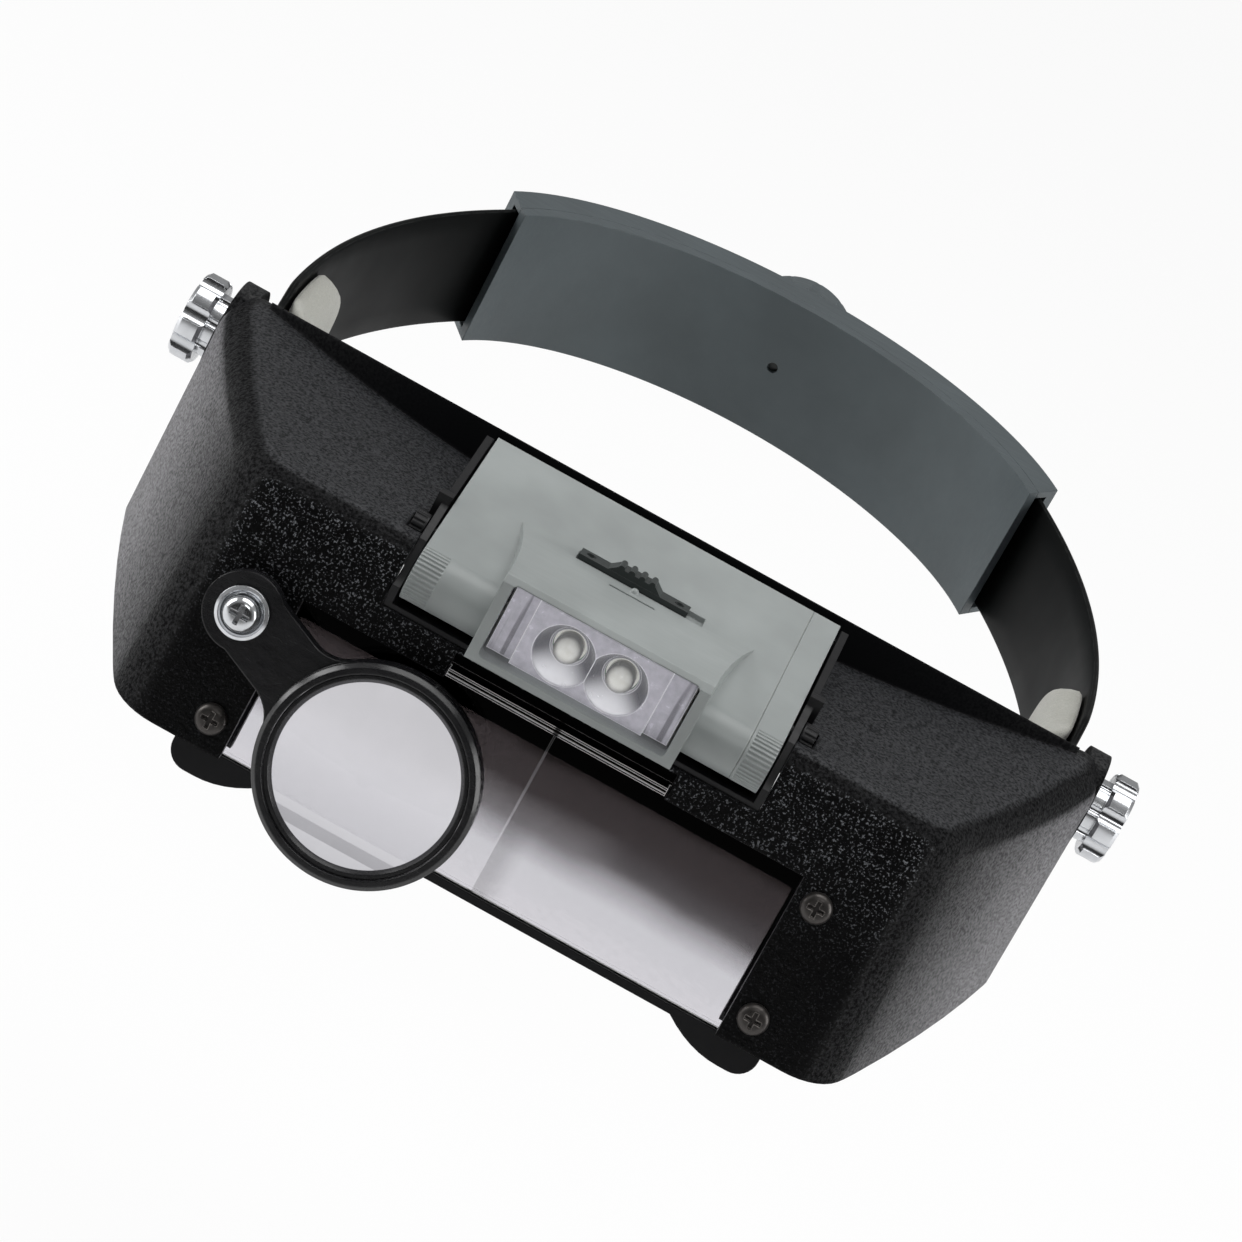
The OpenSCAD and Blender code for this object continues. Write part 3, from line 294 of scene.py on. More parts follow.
def reflector():
    """Vacuum-metallised cups set in a frosted flange, with painted light: a painted reflection dim above
    and bright below, painted highlights on their rims, and a painted glow.
    """
    s = Shader("reflector")
    soft = s.softened(0.35 * MM)
    low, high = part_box("led_reflector")
    depth = s.math("SUBTRACT", s.dot(s.place, (0, 1, 0)), low.y)
    across = s.math("ABSOLUTE", s.dot(s.place, (1, 0, 0)))
    inside = s.math("MULTIPLY", s.fit(depth, 0.1 * MM, 0.5 * MM), s.fit(across, 12 * MM, 11.5 * MM))
    level = s.math("SUBTRACT", s.dot(s.place, (0, 0, 1)), (low.z + high.z) / 2)
    # painted reflection in the cups: dim above, bright below
    cup_reflection = s.blend(s.fit(level, -1.5 * MM, -5.5 * MM, 0, 1, True),
                  shade(104, 104, 111), shade(226, 226, 232))
    waves = s.noise(1.6 * MM, 2.0)
    flange = s.blend(s.fit(waves, 0.3, 0.7), shade(160, 158, 167), shade(182, 180, 189))
    tone = s.blend(inside, flange, cup_reflection)
    wing = s.fit(across, 11.8 * MM, 12.8 * MM)
    streaks = s.fit(s.noise(1.1 * MM, 1.0, 0.5, s.stretched(1.0, 0.05, 0.05)), 0.50, 0.60)
    tone = s.blend(s.math("MULTIPLY", wing, s.math("MULTIPLY", streaks, 0.75)), tone, shade(84, 82, 90))
    # painted highlights on the rims
    tone = s.blend(s.edges(soft), tone, shade(238, 238, 242))
    # painted glow: the reflector emits its own colour
    s.surface(Base_Color=tone, Metallic=s.fit(inside, 0, 1, 0.2, 0.6),
              Roughness=s.fit(waves, 0.35, 0.7, 0.16, 0.28),
              Emission_Color=tone, Emission_Strength=0.38, Normal=s.bump(waves, 0.02 * MM, soft))
    return s.finish(shade(200, 200, 206), 0.2)


def led_epoxy():
    """Water-clear epoxy over a chip, milky, with painted shade towards its limb and a painted glow in the
    middle.
    """
    colour = shade(222, 221, 214)
    s = Shader("led_epoxy")
    limb = s.node("ShaderNodeLayerWeight", None, {"Blend": 0.5}).outputs["Facing"]
    milk = s.blend(s.fit(s.noise(1.2 * MM), 0.3, 0.7), colour, shade(240, 240, 236))
    # painted shade towards the limb, and a painted glow where the dome faces the eye
    s.surface(Base_Color=s.blend(s.fit(limb, 0.2, 0.75, 0, 0.8, True), milk, shade(110, 110, 108)),
              Roughness=0.10, Transmission_Weight=0.06, IOR=1.5, Coat_Weight=0.6, Coat_Roughness=0.05,
              Emission_Color=(0.95, 0.95, 0.90, 1),
              Emission_Strength=s.fit(limb, 0.05, 0.6, 0.30, 0.03, True),
              Normal=s.bump(s.noise(1.5 * MM), 0.01 * MM))
    return s.finish(colour, 0.1)


def clear_plate(name, tint, sheet_share=None):
    """A flat clear plate: what lies behind shows through its tint, under a sharp sheen, and in places under
    a pale sheet with a painted glow.

    The tint is a colour, or a function of the shader that returns a colour socket.
    """
    s = Shader(name)
    tinted = tint(s) if callable(tint) else tint
    scratches = s.noise(0.5 * MM, 3.0, 0.6, s.stretched(0.2, 0.2, 1.0), 1.5)
    dust_and_glow = s.fit(s.cells(2.2 * MM), 0.06, 0.02)
    # light crosses two faces, so each takes the root of the tint
    once = s.node("ShaderNodeGamma", None, {"Color": tinted, "Gamma": 0.5}).outputs[0]
    through = s.node("ShaderNodeBsdfTransparent", None, {"Color": once}).outputs[0]
    sheen = s.node("ShaderNodeBsdfGlossy", None,
                   {"Color": (1, 1, 1, 1), "Roughness": s.fit(scratches, 0.5, 0.8, 0.02, 0.07),
                    "Normal": s.bump(s.noise(6 * MM), 0.02 * MM)}).outputs[0]
    # pale sheet with a painted glow: where the plate is dusty, and on the lens plate's edges as painted
    # highlights
    glow_sheet = s.node("ShaderNodeBsdfDiffuse", None, {"Color": (0.95, 0.94, 0.96, 1)}).outputs[0]
    painted_glow = s.node("ShaderNodeEmission", None, {"Color": (1, 1, 1, 1), "Strength": 0.20}).outputs[0]
    glow_sheet = s.node("ShaderNodeAddShader", None, {0: glow_sheet, 1: painted_glow}).outputs[0]
    # the sheen sits on the near face: rays aren't bent, so the far face would mirror them all
    inner = s.node("ShaderNodeNewGeometry").outputs["Backfacing"]
    sharp = s.math("MULTIPLY", s.node("ShaderNodeFresnel", None, {"IOR": 1.49}).outputs[0],
                   s.math("SUBTRACT", 1.0, inner))
    base = s.node("ShaderNodeMixShader", None, {0: sharp, 1: through, 2: sheen}).outputs[0]
    share = sheet_share(s) if sheet_share else s.math("MULTIPLY", dust_and_glow, 0.18)
    both = s.node("ShaderNodeMixShader", None, {0: share, 1: base, 2: glow_sheet}).outputs[0]
    s.tree.links.new(both, s.output.inputs["Surface"])
    return s.finish((0.9, 0.92, 0.93, 0.25), 0.03)


def lens_gradient(s):
    """Painted view through the lens plate: the dark visor in its upper part and the bright table below, as
    its power shows them.
    """
    length = 33 * MM
    down = s.math("SUBTRACT", lens_top, s.dot(s.place, FACE_UP))
    down = s.math("ADD", down, s.fit(s.noise(20 * MM, 1.0), 0.3, 0.7, -0.5 * MM, 0.5 * MM))
    stops = [(0.0, (24, 20, 20)), (5.5, (28, 24, 24)), (7.5, (56, 51, 52)), (12.5, (62, 57, 58)),
             (15.0, (94, 90, 92)), (18.5, (122, 119, 122)), (21.5, (177, 175, 180)),
             (24.5, (213, 212, 217)), (33.0, (220, 218, 223))]
    seen = s.ramp(s.math("DIVIDE", down, length),
                  [(place * MM / length, shade(*colour)) for place, colour in stops])
    across = s.dot(s.place, (1, 0, 0))
    # painted: a dark reflection in the right-hand lens, and soft shade beside the seam
    dim = s.math("MULTIPLY", s.fit(across, 12 * MM, 22 * MM, 0, 0.55, True),
                 s.fit(down, 20 * MM, 17 * MM, 0, 1, True))
    dim = s.math("MULTIPLY", dim, s.fit(down, 12 * MM, 14 * MM))
    seam_shade = s.math("MULTIPLY", s.fit(across, 0.0, 0.2 * MM), s.fit(across, 1 * MM, 6 * MM, 0.30, 0.0, True))
    seam_shade = s.math("MULTIPLY", seam_shade, s.fit(down, 14 * MM, 22 * MM, 0, 1, True))
    seen = s.blend(s.math("MAXIMUM", dim, seam_shade), seen, shade(48, 43, 44))
    seam = s.fit(s.math("ABSOLUTE", across), 0.10 * MM, 0.24 * MM, 0.30, 0.0)
    seam = s.math("MULTIPLY", seam, s.fit(down, 9 * MM, 22 * MM, 0.25, 1.0))
    return s.blend(seam, seen, shade(226, 224, 230))


def lens_edge_highlights(s):
    """Painted highlights on the edges, weaker along the seam."""
    off_seam = s.fit(s.math("ABSOLUTE", s.dot(s.place, (1, 0, 0))), 0.3 * MM, 0.7 * MM, 0.12, 1.0)
    return s.math("MULTIPLY", s.edges(s.softened(0.22 * MM)), off_seam)


def loupe_glass():
    """Clear ground lens that bends what lies behind it, about half covered by a painted glow; lamps still
    shine through for its shadow.
    """
    s = Shader("loupe_acrylic")
    smear = s.noise(9 * MM, 3.0, 0.55)
    glass = s.node("ShaderNodeBsdfGlass", None,
                   {"Color": (0.96, 0.96, 0.97, 1), "IOR": 1.45,
                    "Roughness": s.fit(smear, 0.4, 0.8, 0.0, 0.04)}).outputs[0]
    clear = s.node("ShaderNodeBsdfTransparent", None, {"Color": (0.93, 0.93, 0.94, 1)}).outputs[0]
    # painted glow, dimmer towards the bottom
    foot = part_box("loupe_lens")[0].z
    glow = s.blend(s.fit(s.dot(s.place, (0, 0, 1)), foot, foot + 22 * MM), shade(176, 175, 180),
                   shade(222, 221, 225))
    glow_sheet = s.node("ShaderNodeEmission", None, {"Color": glow}).outputs[0]
    shadow = s.node("ShaderNodeLightPath").outputs["Is Shadow Ray"]
    lens = s.node("ShaderNodeMixShader", None, {0: shadow, 1: glass, 2: clear}).outputs[0]
    # share of the painted glow, about half, with dust specks
    dust_and_glow = s.math("ADD", s.fit(smear, 0.4, 0.8, 0.50, 0.56), s.fit(s.cells(2.6 * MM), 0.03, 0.01, 0, 0.1))
    both = s.node("ShaderNodeMixShader", None, {0: dust_and_glow, 1: lens, 2: glow_sheet}).outputs[0]
    s.tree.links.new(both, s.output.inputs["Surface"])
    return s.finish((0.9, 0.92, 0.93, 0.25), 0.02)


def foam_fabric():
    """Brushed knit over foam: short nap, a faint knit pattern, and a soft sheen."""
    colour = shade(176, 176, 168)
    s = Shader("foam_grey")
    nap = s.noise(0.35 * MM, 4.0, 0.7)
    knit = s.cells(0.9 * MM, "SMOOTH_F1", s.stretched(1.0, 1.0, 0.75))
    wear = s.noise(14 * MM, 3.0, 0.6)
    height = s.math("ADD", s.math("MULTIPLY", nap, 0.6), s.math("MULTIPLY", knit, 0.7))
    tinted = s.blend(s.fit(nap, 0.3, 0.7), scaled(colour, 0.78), scaled(colour, 1.08))
    tinted = s.blend(s.fit(wear, 0.4, 0.7, 0.0, 0.35), tinted, shade(150, 149, 141))
    s.surface(Base_Color=tinted, Roughness=s.fit(nap, 0.3, 0.7, 0.86, 0.97), Sheen_Weight=0.35,
              Sheen_Roughness=0.5, Specular_IOR_Level=0.2, Normal=s.bump(height, 0.16 * MM))
    return s.finish(colour, 0.92)


def strap_plastic():
    """Smooth flexible strap: satin, softly mottled, with rubbed edges."""
    colour = shade(9, 10, 10)
    s = Shader("strap_grey")
    soft = s.softened(0.3 * MM)
    clouds = s.noise(20 * MM, 3.0)
    grain = s.noise(0.6 * MM, 3.0, 0.6)
    tinted = s.blend(s.fit(clouds, 0.3, 0.7), scaled(colour, 0.88), scaled(colour, 1.12))
    rubbed = s.math("MULTIPLY", s.edges(soft), s.fit(s.noise(2 * MM, 4.0), 0.4, 0.6))
    tinted = s.blend(s.math("MULTIPLY", rubbed, 0.5), tinted, shade(88, 93, 92))
    s.surface(Base_Color=tinted, Roughness=s.fit(clouds, 0.3, 0.7, 0.42, 0.50),
              Specular_IOR_Level=0.08, Normal=s.bump(grain, 0.008 * MM, soft))
    return s.finish(colour, 0.42)


def circuit_board():
    """Solder-masked board with faint copper tracks under the mask."""
    s = Shader("board_green")
    tracks = s.node("ShaderNodeTexBrick", {"offset": 0.5},
                    {"Vector": s.place, "Color1": shade(20, 92, 48), "Color2": shade(26, 104, 56),
                     "Mortar": shade(60, 140, 86), "Scale": 220.0, "Mortar Size": 0.03}).outputs["Color"]
    s.surface(Base_Color=tracks, Roughness=s.fit(s.noise(1.5 * MM), 0.3, 0.7, 0.22, 0.38),
              Normal=s.bump(s.noise(0.6 * MM), 0.01 * MM))
    return s.finish(shade(22, 96, 50), 0.3)


def battery_wrap():
    """Plain two-tone metallised wrapper with bare ends."""
    s = Shader("battery")
    lengthways = s.dot(s.place, (1, 0, 0))
    band = s.fit(lengthways, 9 * MM, 9.2 * MM)
    ends = s.fit(lengthways, 17.4 * MM, 17.5 * MM)
    tinted = s.blend(band, shade(58, 62, 70), shade(176, 132, 70))
    tinted = s.blend(ends, tinted, shade(200, 200, 204))
    s.surface(Base_Color=tinted, Metallic=0.55, Roughness=s.fit(s.noise(2 * MM, 3.0), 0.3, 0.7, 0.24, 0.36),
              Normal=s.bump(s.noise(3 * MM), 0.01 * MM))
    return s.finish(shade(58, 62, 70), 0.3)


def floor_paint():
    """Pale, even studio sweep."""
    s = Shader("studio_floor")
    clouds = s.noise(0.5, 2.0)
    tinted = s.blend(s.fit(clouds, 0.3, 0.7), (0.90, 0.90, 0.905, 1), (0.93, 0.93, 0.93, 1))
    paint = s.node("ShaderNodeBsdfDiffuse", None, {"Color": tinted}).outputs[0]
    glow = s.node("ShaderNodeEmission", None, {"Color": (1, 1, 1, 1), "Strength": 1.0}).outputs[0]
    rays = s.node("ShaderNodeLightPath").outputs
    seen = s.math("MULTIPLY", s.math("MAXIMUM", rays["Is Camera Ray"], rays["Is Transmission Ray"]), 0.93)
    both = s.node("ShaderNodeMixShader", None, {0: seen, 1: paint, 2: glow}).outputs[0]
    s.tree.links.new(both, s.output.inputs["Surface"])
    return s.finish((0.92, 0.92, 0.92, 1), 0.9)


# ---------------------------------------------------------------- places taken from the frame

node_slot = {part["node"]: part["material_slot"] for part in frame["record"]["subparts"]}
strap_low, strap_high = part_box("right_strap")
pad_low, pad_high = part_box("forehead_pad")
lens_top = max(FACE_UP.dot(v.co) for v in frame["nodes"]["lens_plate"].data.vertices)

# The visor's back edge is an arc about a line behind the head.
rim_centre_y = 162 * MM
rim_radius = 187 * MM

MAKERS = {
    "visor_black": visor_black,
    "bracket_black": lambda: moulded("bracket_black", shade(19, 19, 21), 0.40, 0.6 * MM, 0.012 * MM,
                                     0.25 * MM, 0.3),
    "loupe_black": lambda: moulded("loupe_black", shade(20, 20, 22), 0.24, 1.6 * MM, 0.02 * MM, 0.35 * MM,
                                   0.6, 0.8),
    "band_black": lambda: moulded("band_black", shade(22, 22, 24), 0.46, shine=0.3),
    "lamp_grey": lambda: moulded("lamp_grey", shade(151, 156, 155), 0.40, 0.5 * MM, 0.008 * MM, 0.35 * MM,
                                 0.5, 0.4),
    "housing_slate": lambda: moulded("housing_slate", shade(76, 84, 87), 0.50, 0.45 * MM, 0.014 * MM,
                                     0.4 * MM),
    "switch_black": lambda: moulded("switch_black", shade(38, 44, 43), 0.34, 0.5 * MM, 0.02 * MM, 0.2 * MM),
    "nylon_white": lambda: moulded("nylon_white", shade(222, 220, 210), 0.45),
    "chrome": lambda: polished("chrome", shade(224, 226, 229), 0.15),
    "steel": lambda: polished("steel", shade(190, 190, 194), 0.25, scratches=0.6),
    "brass": lambda: polished("brass", shade(212, 178, 104), 0.2, scratches=0.5),
    "dark_screw": dark_screw,
    "reflector": reflector,
    "led_epoxy": led_epoxy,
    "clear_acrylic": lambda: clear_plate("clear_acrylic", (0.95, 0.95, 0.955, 1)),
    "lens_acrylic": lambda: clear_plate("lens_acrylic", lens_gradient, lens_edge_highlights),
    "loupe_acrylic": loupe_glass,
    "foam_grey": foam_fabric,
    "strap_grey": strap_plastic,
    "board_green": circuit_board,
    "battery": battery_wrap,
}
made_materials = {}


def material(slot):
    if slot not in made_materials:
        made_materials[slot] = MAKERS[slot]()
    return made_materials[slot]


# ---------------------------------------------------------------- mesh helpers


def new_object(name, mesh):
    piece = bpy.data.objects.new(name, mesh)
    bpy.context.scene.collection.objects.link(piece)
    return piece


def loft(name, rings):
    """A mesh through rings of equal numbers of points, with capped ends."""
    body = bmesh.new()
    rows = [[body.verts.new(point) for point in ring] for ring in rings]
    count = len(rings[0])
    for row, following in zip(rows, rows[1:]):
        for i in range(count):
            j = (i + 1) % count
            body.faces.new((row[i], row[j], following[j], following[i]))
    body.faces.new(rows[0][::-1])
    body.faces.new(rows[-1])
    bmesh.ops.recalc_face_normals(body, faces=body.faces)
    mesh = bpy.data.meshes.new(name)
    body.to_mesh(mesh)
    body.free()
    return mesh


def apply_modifiers(piece):
    """Replaces a piece's mesh by what its modifiers make of it."""
    bpy.context.view_layer.update()
    graph = bpy.context.evaluated_depsgraph_get()
    mesh = bpy.data.meshes.new_from_object(piece.evaluated_get(graph), depsgraph=graph)
    mesh.name = piece.name
    piece.modifiers.clear()
    piece.data = mesh


# ---------------------------------------------------------------- strap arms

strap_t = 1.5 * MM
arm_steps = 120
arm_radius = 219.8 * MM
arm_centre = Vector((strap_high.x - strap_t / 2 - arm_radius, 24.2 * MM))
tail_centre = Vector((0, 88 * MM))
tail_radius = 70.5 * MM
tongue_r = 9.2 * MM
tongue_top = 8.4 * MM
pivot_hole_r = 3.75 * MM
rivet_hole_r = 1.55 * MM
rivet_y = 20 * MM
rivet_head_r = 2.6 * MM
drill_reach = (70 * MM, 95 * MM)
# how far an arm carries on past its bend, into the rear housing's mouth
mouth_reach = math.radians(2)


def arm_path():
    """Plan of a strap arm's middle, front to back: (place, outward direction)."""
    front = math.asin((-tongue_r - arm_centre.y) / arm_radius)
    towards = tail_centre - arm_centre
    bend = math.atan2(towards.y, towards.x)
    arm_length = arm_radius * (bend - front)
    tail_length = tail_radius * mouth_reach
    found = []
    for i in range(arm_steps + 1):
        along = (arm_length + tail_length) * i / arm_steps
        if along <= arm_length:
            angle, centre, radius = front + along / arm_radius, arm_centre, arm_radius
        else:
            angle, centre, radius = bend + (along - arm_length) / tail_radius, tail_centre, tail_radius
        out = Vector((math.cos(angle), math.sin(angle)))
        found.append((centre + radius * out, out))
    return found


def ease(value, low, high):
    """0 below low, 1 above high, smooth between."""
    t = min(1.0, max(0.0, (value - low) / (high - low)))
    return t * t * (3 - 2 * t)


def strap_edges(y):
    """Lowest and highest z of the strap at a place along it: a round tongue, then full height."""
    tongue = math.sqrt(max(0.0, tongue_r ** 2 - min(y, 0.0) ** 2))
    low = -tongue + (strap_low.z + tongue) * ease(y, 0.5 * MM, 11 * MM)
    high = min(tongue, tongue_top)
    high += (strap_high.z - high) * ease(y, 4.5 * MM, 13 * MM)
    return low, high


def strap_section(place, out, side):
    """Ring of points round the strap: flat faces with rounded edges."""
    low, high = strap_edges(place.y)
    r = min(strap_t / 2 * 0.98, max(1e-5, (high - low) / 2 * 0.9))
    corner_steps = 4
    flat_steps = 6
    ring = []
    for sense in (1, -1):
        for k in range(flat_steps + 1):
            share = k / flat_steps if sense > 0 else 1 - k / flat_steps
            ring.append((sense * strap_t / 2, low + r + (high - low - 2 * r) * share))
        for k in range(1, corner_steps):
            angle = math.pi * k / corner_steps
            end = high - r if sense > 0 else low + r
            ring.append((sense * strap_t / 2 * math.cos(angle), end + sense * r * math.sin(angle)))
    return [Vector((side * (place.x + across * out.x), place.y + across * out.y, z))
            for across, z in ring]


def rod_along_x(x0, x1, y, z, radius, sides=40):
    ring = [(y + radius * math.cos(2 * math.pi * k / sides), z + radius * math.sin(2 * math.pi * k / sides))
            for k in range(sides)]
    return [[Vector((x, a, b)) for a, b in ring] for x in (x0, x1)]


def strap_arm(name, side):
    """A flexible strap with a round tongue at its pivot, drilled for the pivot and the rivets."""
    rings = [strap_section(place, out, side) for place, out in arm_path()]
    piece = new_object(name, loft(name, rings))
    piece.data.shade_smooth()
    rivets_low, rivets_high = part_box("strap_rivets")
    rivet_z = [rivets_low.z + rivet_head_r, rivets_high.z - rivet_head_r]
    holes = [(0.0, 0.0, pivot_hole_r)] + [(rivet_y, z, rivet_hole_r) for z in rivet_z]
    ends = sorted(side * x for x in drill_reach)
    for k, (y, z, radius) in enumerate(holes):
        cutter = new_object(f"{name}_hole_{k}", loft("hole", rod_along_x(*ends, y, z, radius)))
        cut = piece.modifiers.new("hole", "BOOLEAN")
        cut.operation = "DIFFERENCE"
        cut.solver = "EXACT"
        cut.object = cutter
        apply_modifiers(piece)
        bpy.data.objects.remove(cutter)
    split = piece.modifiers.new("sharp_holes", "EDGE_SPLIT")
    split.split_angle = math.radians(40)
    piece.data.materials.clear()
    piece.data.materials.append(material("strap_grey"))
    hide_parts("left_strap" if side < 0 else "right_strap")
    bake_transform(piece)


# ---------------------------------------------------------------- forehead pad

band_corner = Vector((68.75 * MM, 7.18 * MM))
band_corner_r = 14 * MM
band_radius = 183.4 * MM
band_side_r = 218.95 * MM
pad_inset = 2.05 * MM
pad_mid_z = (pad_low.z + pad_high.z) / 2
pad_half_h = (pad_high.z - pad_low.z) / 2
pad_t = 5 * MM
pad_half_rings = 90


def band_outline(inset, end_y):
    """Right half of the headband's plan, from the middle of the forehead round to the temple."""
    turn = math.atan2(band_corner.y - rim_centre_y, band_corner.x)
    side_start = -math.radians(2)
    front_steps = 60
    corner_steps = 24
    points = []
    for k in range(front_steps):
        angle = -math.pi / 2 + (turn + math.pi / 2) * k / front_steps
        points.append(Vector((math.cos(angle), math.sin(angle))) * (band_radius - inset)
                      + Vector((0, rim_centre_y)))
    for k in range(corner_steps):
        angle = turn + (side_start - turn) * k / (corner_steps - 1)
        points.append(band_corner + Vector((math.cos(angle), math.sin(angle))) * (band_corner_r - inset))
    first_y = points[-1].y + 3 * MM
    for k in range(corner_steps):
        y = first_y + (end_y - first_y) * k / (corner_steps - 1)
        reach = math.sqrt((band_side_r - inset) ** 2 - (y - arm_centre.y) ** 2)
        points.append(Vector((arm_centre.x + reach, y)))
    return points


def evenly(points, count):
    """The same line with its points evenly spaced."""
    spans = [0.0]
    for a, b in zip(points, points[1:]):
        spans.append(spans[-1] + (b - a).length)
    wanted = np.linspace(0, spans[-1], count)
    xs = np.interp(wanted, spans, [p.x for p in points])
    ys = np.interp(wanted, spans, [p.y for p in points])
    return [Vector((x, y)) for x, y in zip(xs, ys)]


def simulate_pad(piece, pinned):
    """Swells a foam piece with cloth pressure, away from the points that are glued to the band.

    The piece is enlarged for the simulation, and no point moves further than the cap.
    """
    scale = 5.0
    cap = 0.9 * MM
    frames = 18
    rest = np.array([v.co for v in piece.data.vertices])
    piece.data.transform(Matrix.Scale(scale, 4))
    group = piece.vertex_groups.new(name="glued")
    for index, weight in enumerate(pinned):
        if weight > 0:
            group.add([index], weight, "REPLACE")
    cloth = piece.modifiers.new("cloth", "CLOTH")
    cloth.settings.quality = 6
    cloth.settings.mass = 0.25
    cloth.settings.tension_stiffness = 12
    cloth.settings.compression_stiffness = 12
    cloth.settings.shear_stiffness = 6
    cloth.settings.bending_stiffness = 2
    cloth.settings.use_pressure = True
    cloth.settings.uniform_pressure_force = 4.0
    cloth.settings.vertex_group_mass = "glued"
    cloth.settings.effector_weights.gravity = 0
    cloth.collision_settings.use_collision = False
    scene = bpy.context.scene
    for number in range(1, frames + 1):
        scene.frame_set(number)
    graph = bpy.context.evaluated_depsgraph_get()
    moved = np.array([v.co for v in piece.evaluated_get(graph).data.vertices]) / scale
    piece.modifiers.clear()
    scene.frame_set(1)
    shift = moved - rest
    length = np.linalg.norm(shift, axis=1)
    shift *= np.minimum(1.0, cap / np.maximum(length, 1e-9))[:, None]
    piece.data.vertices.foreach_set("co", (rest + shift).astype(np.float32).ravel())
    piece.data.update()


def forehead_pad():
    """Foam pad behind the front band: glued flat outside, swollen inside, pressed thin at its rim."""
    half = evenly(band_outline(pad_inset + pad_t / 2, pad_high.y), pad_half_rings)
    path = [Vector((-p.x, p.y)) for p in half[:0:-1]] + half
    around = 14
    outer_out = pad_t / 2 - 0.15 * MM
    inner_out = -(pad_t / 2 - 1.1 * MM)
    side_top = 1.8 * MM
    reach_out = 1.75 * MM
    end_start = pad_high.y - pad_half_h
    rings = []
    glued = []
    for i, place in enumerate(path):
        ahead = path[min(i + 1, len(path) - 1)]
        behind = path[max(i - 1, 0)]
        along = (ahead - behind).normalized()
        out = Vector((along.y, -along.x))
        beyond = max(0.0, place.y - end_start)
        round_end = math.sqrt(max(0.02, 1 - (beyond / pad_half_h) ** 2))
        half_h = pad_half_h * round_end
        thin = 0.35 + 0.65 * ease(round_end, 0.1, 0.7)
        ring = []
        for k in range(around + 1):
            z = pad_mid_z + half_h * (2 * k / around - 1)
            hug = reach_out * ease(z, side_top, side_top + 2.5 * MM) * ease(place.y, 0, 10 * MM)
            ring.append(Vector((*(place + out * (outer_out + hug)), z)))
            glued.append(1.0)
        for k in range(around - 1, 0, -1):
            level = 2 * k / around - 1
            z = pad_mid_z + half_h * level
            rim = 1 - abs(level) ** 6
            depth = outer_out + (inner_out - outer_out) * (0.30 + 0.70 * rim) * thin
            ring.append(Vector((*(place + out * depth), z)))
            glued.append(0.85 * abs(level) ** 10)
        rings.append(ring)
    piece = new_object("forehead_foam", loft("forehead_foam", rings))
    piece.data.shade_smooth()
    simulate_pad(piece, glued)
    round_off = piece.modifiers.new("rounded", "SUBSURF")
    round_off.levels = round_off.render_levels = 1
    piece.data.materials.append(material("foam_grey"))
    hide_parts("forehead_pad")
    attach(piece, "headband")


# ---------------------------------------------------------------- CAD nodes


def dress_cad_nodes():
    """Gives every CAD node its material and clean shading; shapes stay as packed."""
    for name, piece in frame["nodes"].items():
        finish = material(node_slot[name])
        if not piece.material_slots:
            piece.data.materials.append(finish)
        for each in piece.material_slots:
            each.material = finish
        piece.data.shade_smooth()
        weld = piece.modifiers.new("weld", "WELD")
        weld.merge_threshold = 0.001 * MM
        split = piece.modifiers.new("sharp_edges", "EDGE_SPLIT")
        split.split_angle = math.radians(28)


# ---------------------------------------------------------------- studio


def floor():
    """Large plain sweep below the object."""
    size = 6.0
    drop = 0.16
    body = bmesh.new()
    bmesh.ops.create_grid(body, x_segments=8, y_segments=8, size=size / 2)
    mesh = bpy.data.meshes.new("studio_floor")
    body.to_mesh(mesh)
    body.free()
    piece = new_object("studio_floor", mesh)
    piece.location = (0, 0, -drop)
    mesh.materials.append(floor_paint())


def softbox(name, place, size, power):
    """A rectangular lamp that faces the object."""
    light = bpy.data.lights.new(name, "AREA")
    light.shape = "RECTANGLE"
    light.size, light.size_y = size
    light.energy = power
    lamp = bpy.data.objects.new(name, light)
    bpy.context.scene.collection.objects.link(lamp)
    lamp.location = place
    lamp.rotation_euler = (-Vector(place)).to_track_quat("-Z", "Y").to_euler()
    lamp.visible_camera = False


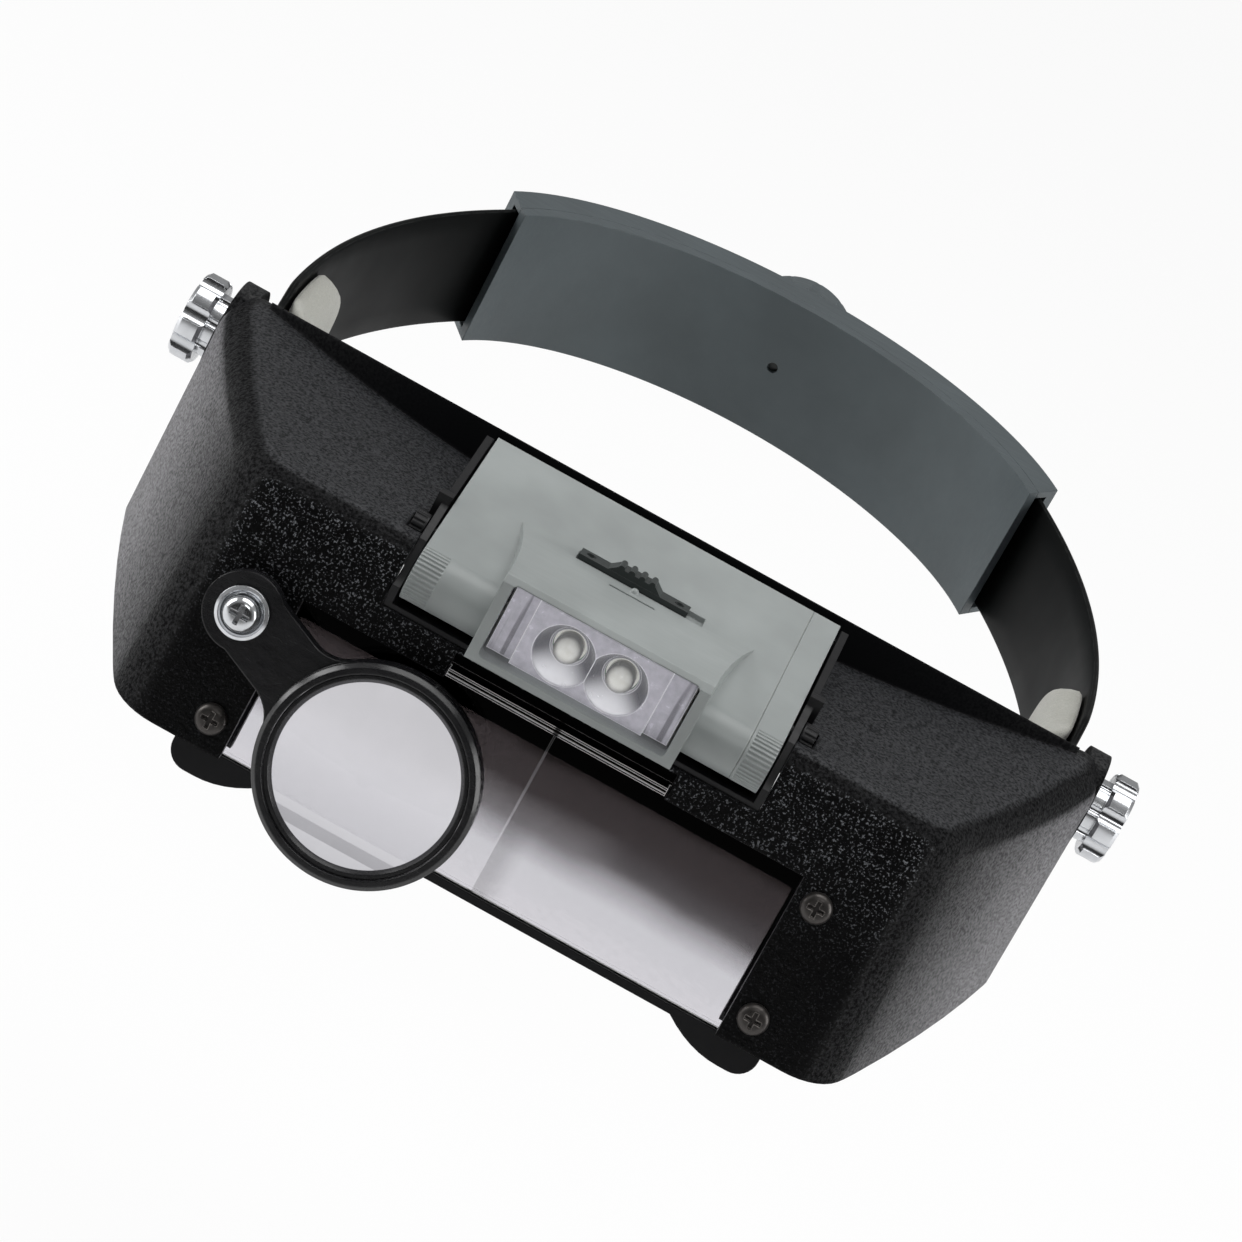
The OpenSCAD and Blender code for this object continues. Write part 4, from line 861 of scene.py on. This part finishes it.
def world():
    """White to the eye; for light and reflections, dim in front of the visor."""
    studio = bpy.data.worlds.new("studio")
    bpy.context.scene.world = studio
    studio.use_nodes = True
    nodes, links = studio.node_tree.nodes, studio.node_tree.links
    nodes.clear()
    output = nodes.new("ShaderNodeOutputWorld")
    seen = nodes.new("ShaderNodeBackground")
    seen.inputs["Color"].default_value = (1, 1, 1, 1)
    seen.inputs["Strength"].default_value = 1.0
    room = nodes.new("ShaderNodeBackground")
    direction = nodes.new("ShaderNodeTexCoord")
    split = nodes.new("ShaderNodeSeparateXYZ")
    links.new(direction.outputs["Generated"], split.inputs[0])
    front = nodes.new("ShaderNodeMapRange")
    front.interpolation_type = "SMOOTHSTEP"
    # inputs 1 and 2 are the range of directions, 3 and 4 the strengths there
    for index, value in ((1, -0.35), (2, -0.85), (3, 0.30), (4, 0.03)):
        front.inputs[index].default_value = value
    links.new(split.outputs["Y"], front.inputs[0])
    links.new(front.outputs[0], room.inputs["Strength"])
    room.inputs["Color"].default_value = (1, 1, 1, 1)
    rays = nodes.new("ShaderNodeLightPath")
    clear = nodes.new("ShaderNodeMath")
    clear.operation = "MAXIMUM"
    links.new(rays.outputs["Is Camera Ray"], clear.inputs[0])
    links.new(rays.outputs["Is Transmission Ray"], clear.inputs[1])
    mixed = nodes.new("ShaderNodeMixShader")
    links.new(clear.outputs[0], mixed.inputs[0])
    links.new(room.outputs[0], mixed.inputs[1])
    links.new(seen.outputs[0], mixed.inputs[2])
    links.new(mixed.outputs[0], output.inputs["Surface"])


def lights():
    softbox("softbox_top", (0.0, 0.05, 0.95), (0.9, 0.7), 5.0)
    softbox("softbox_left", (-0.95, -0.05, 0.30), (0.5, 0.7), 5.2)
    softbox("softbox_right", (0.95, -0.05, 0.30), (0.5, 0.7), 4.2)
    softbox("softbox_front", (0.1, -0.9, 0.75), (0.4, 0.25), 1.0)


def camera():
    """Seen from the front, a little above, with the frame rolled so that the visor slopes down."""
    azimuth = math.radians(0.82)
    elevation = math.radians(22)
    roll = math.radians(28.6)
    distance = 700 * MM
    aim_down = 11.5 * MM
    aim_left = 0.45 * MM
    back = Vector((math.sin(azimuth) * math.cos(elevation), -math.cos(azimuth) * math.cos(elevation),
                   math.sin(elevation)))
    right = Vector((math.cos(azimuth), math.sin(azimuth), 0))
    up = back.cross(right)
    data = bpy.data.cameras.new("camera")
    data.lens = 109.57
    data.sensor_width = 36
    data.clip_start = 0.02
    data.clip_end = 20
    piece = bpy.data.objects.new("camera", data)
    bpy.context.scene.collection.objects.link(piece)
    rolled_right = math.cos(roll) * right + math.sin(roll) * up
    rolled_up = math.cos(roll) * up - math.sin(roll) * right
    turn = Matrix((rolled_right, rolled_up, back)).transposed().to_4x4()
    piece.matrix_world = Matrix.Translation(back * distance - up * aim_down - right * aim_left) @ turn
    bpy.context.scene.camera = piece


dress_cad_nodes()
strap_arm("strap_arm_left", -1)
strap_arm("strap_arm_right", 1)
forehead_pad()
floor()
world()
lights()
camera()
bpy.context.scene.view_settings.view_transform = "Standard"
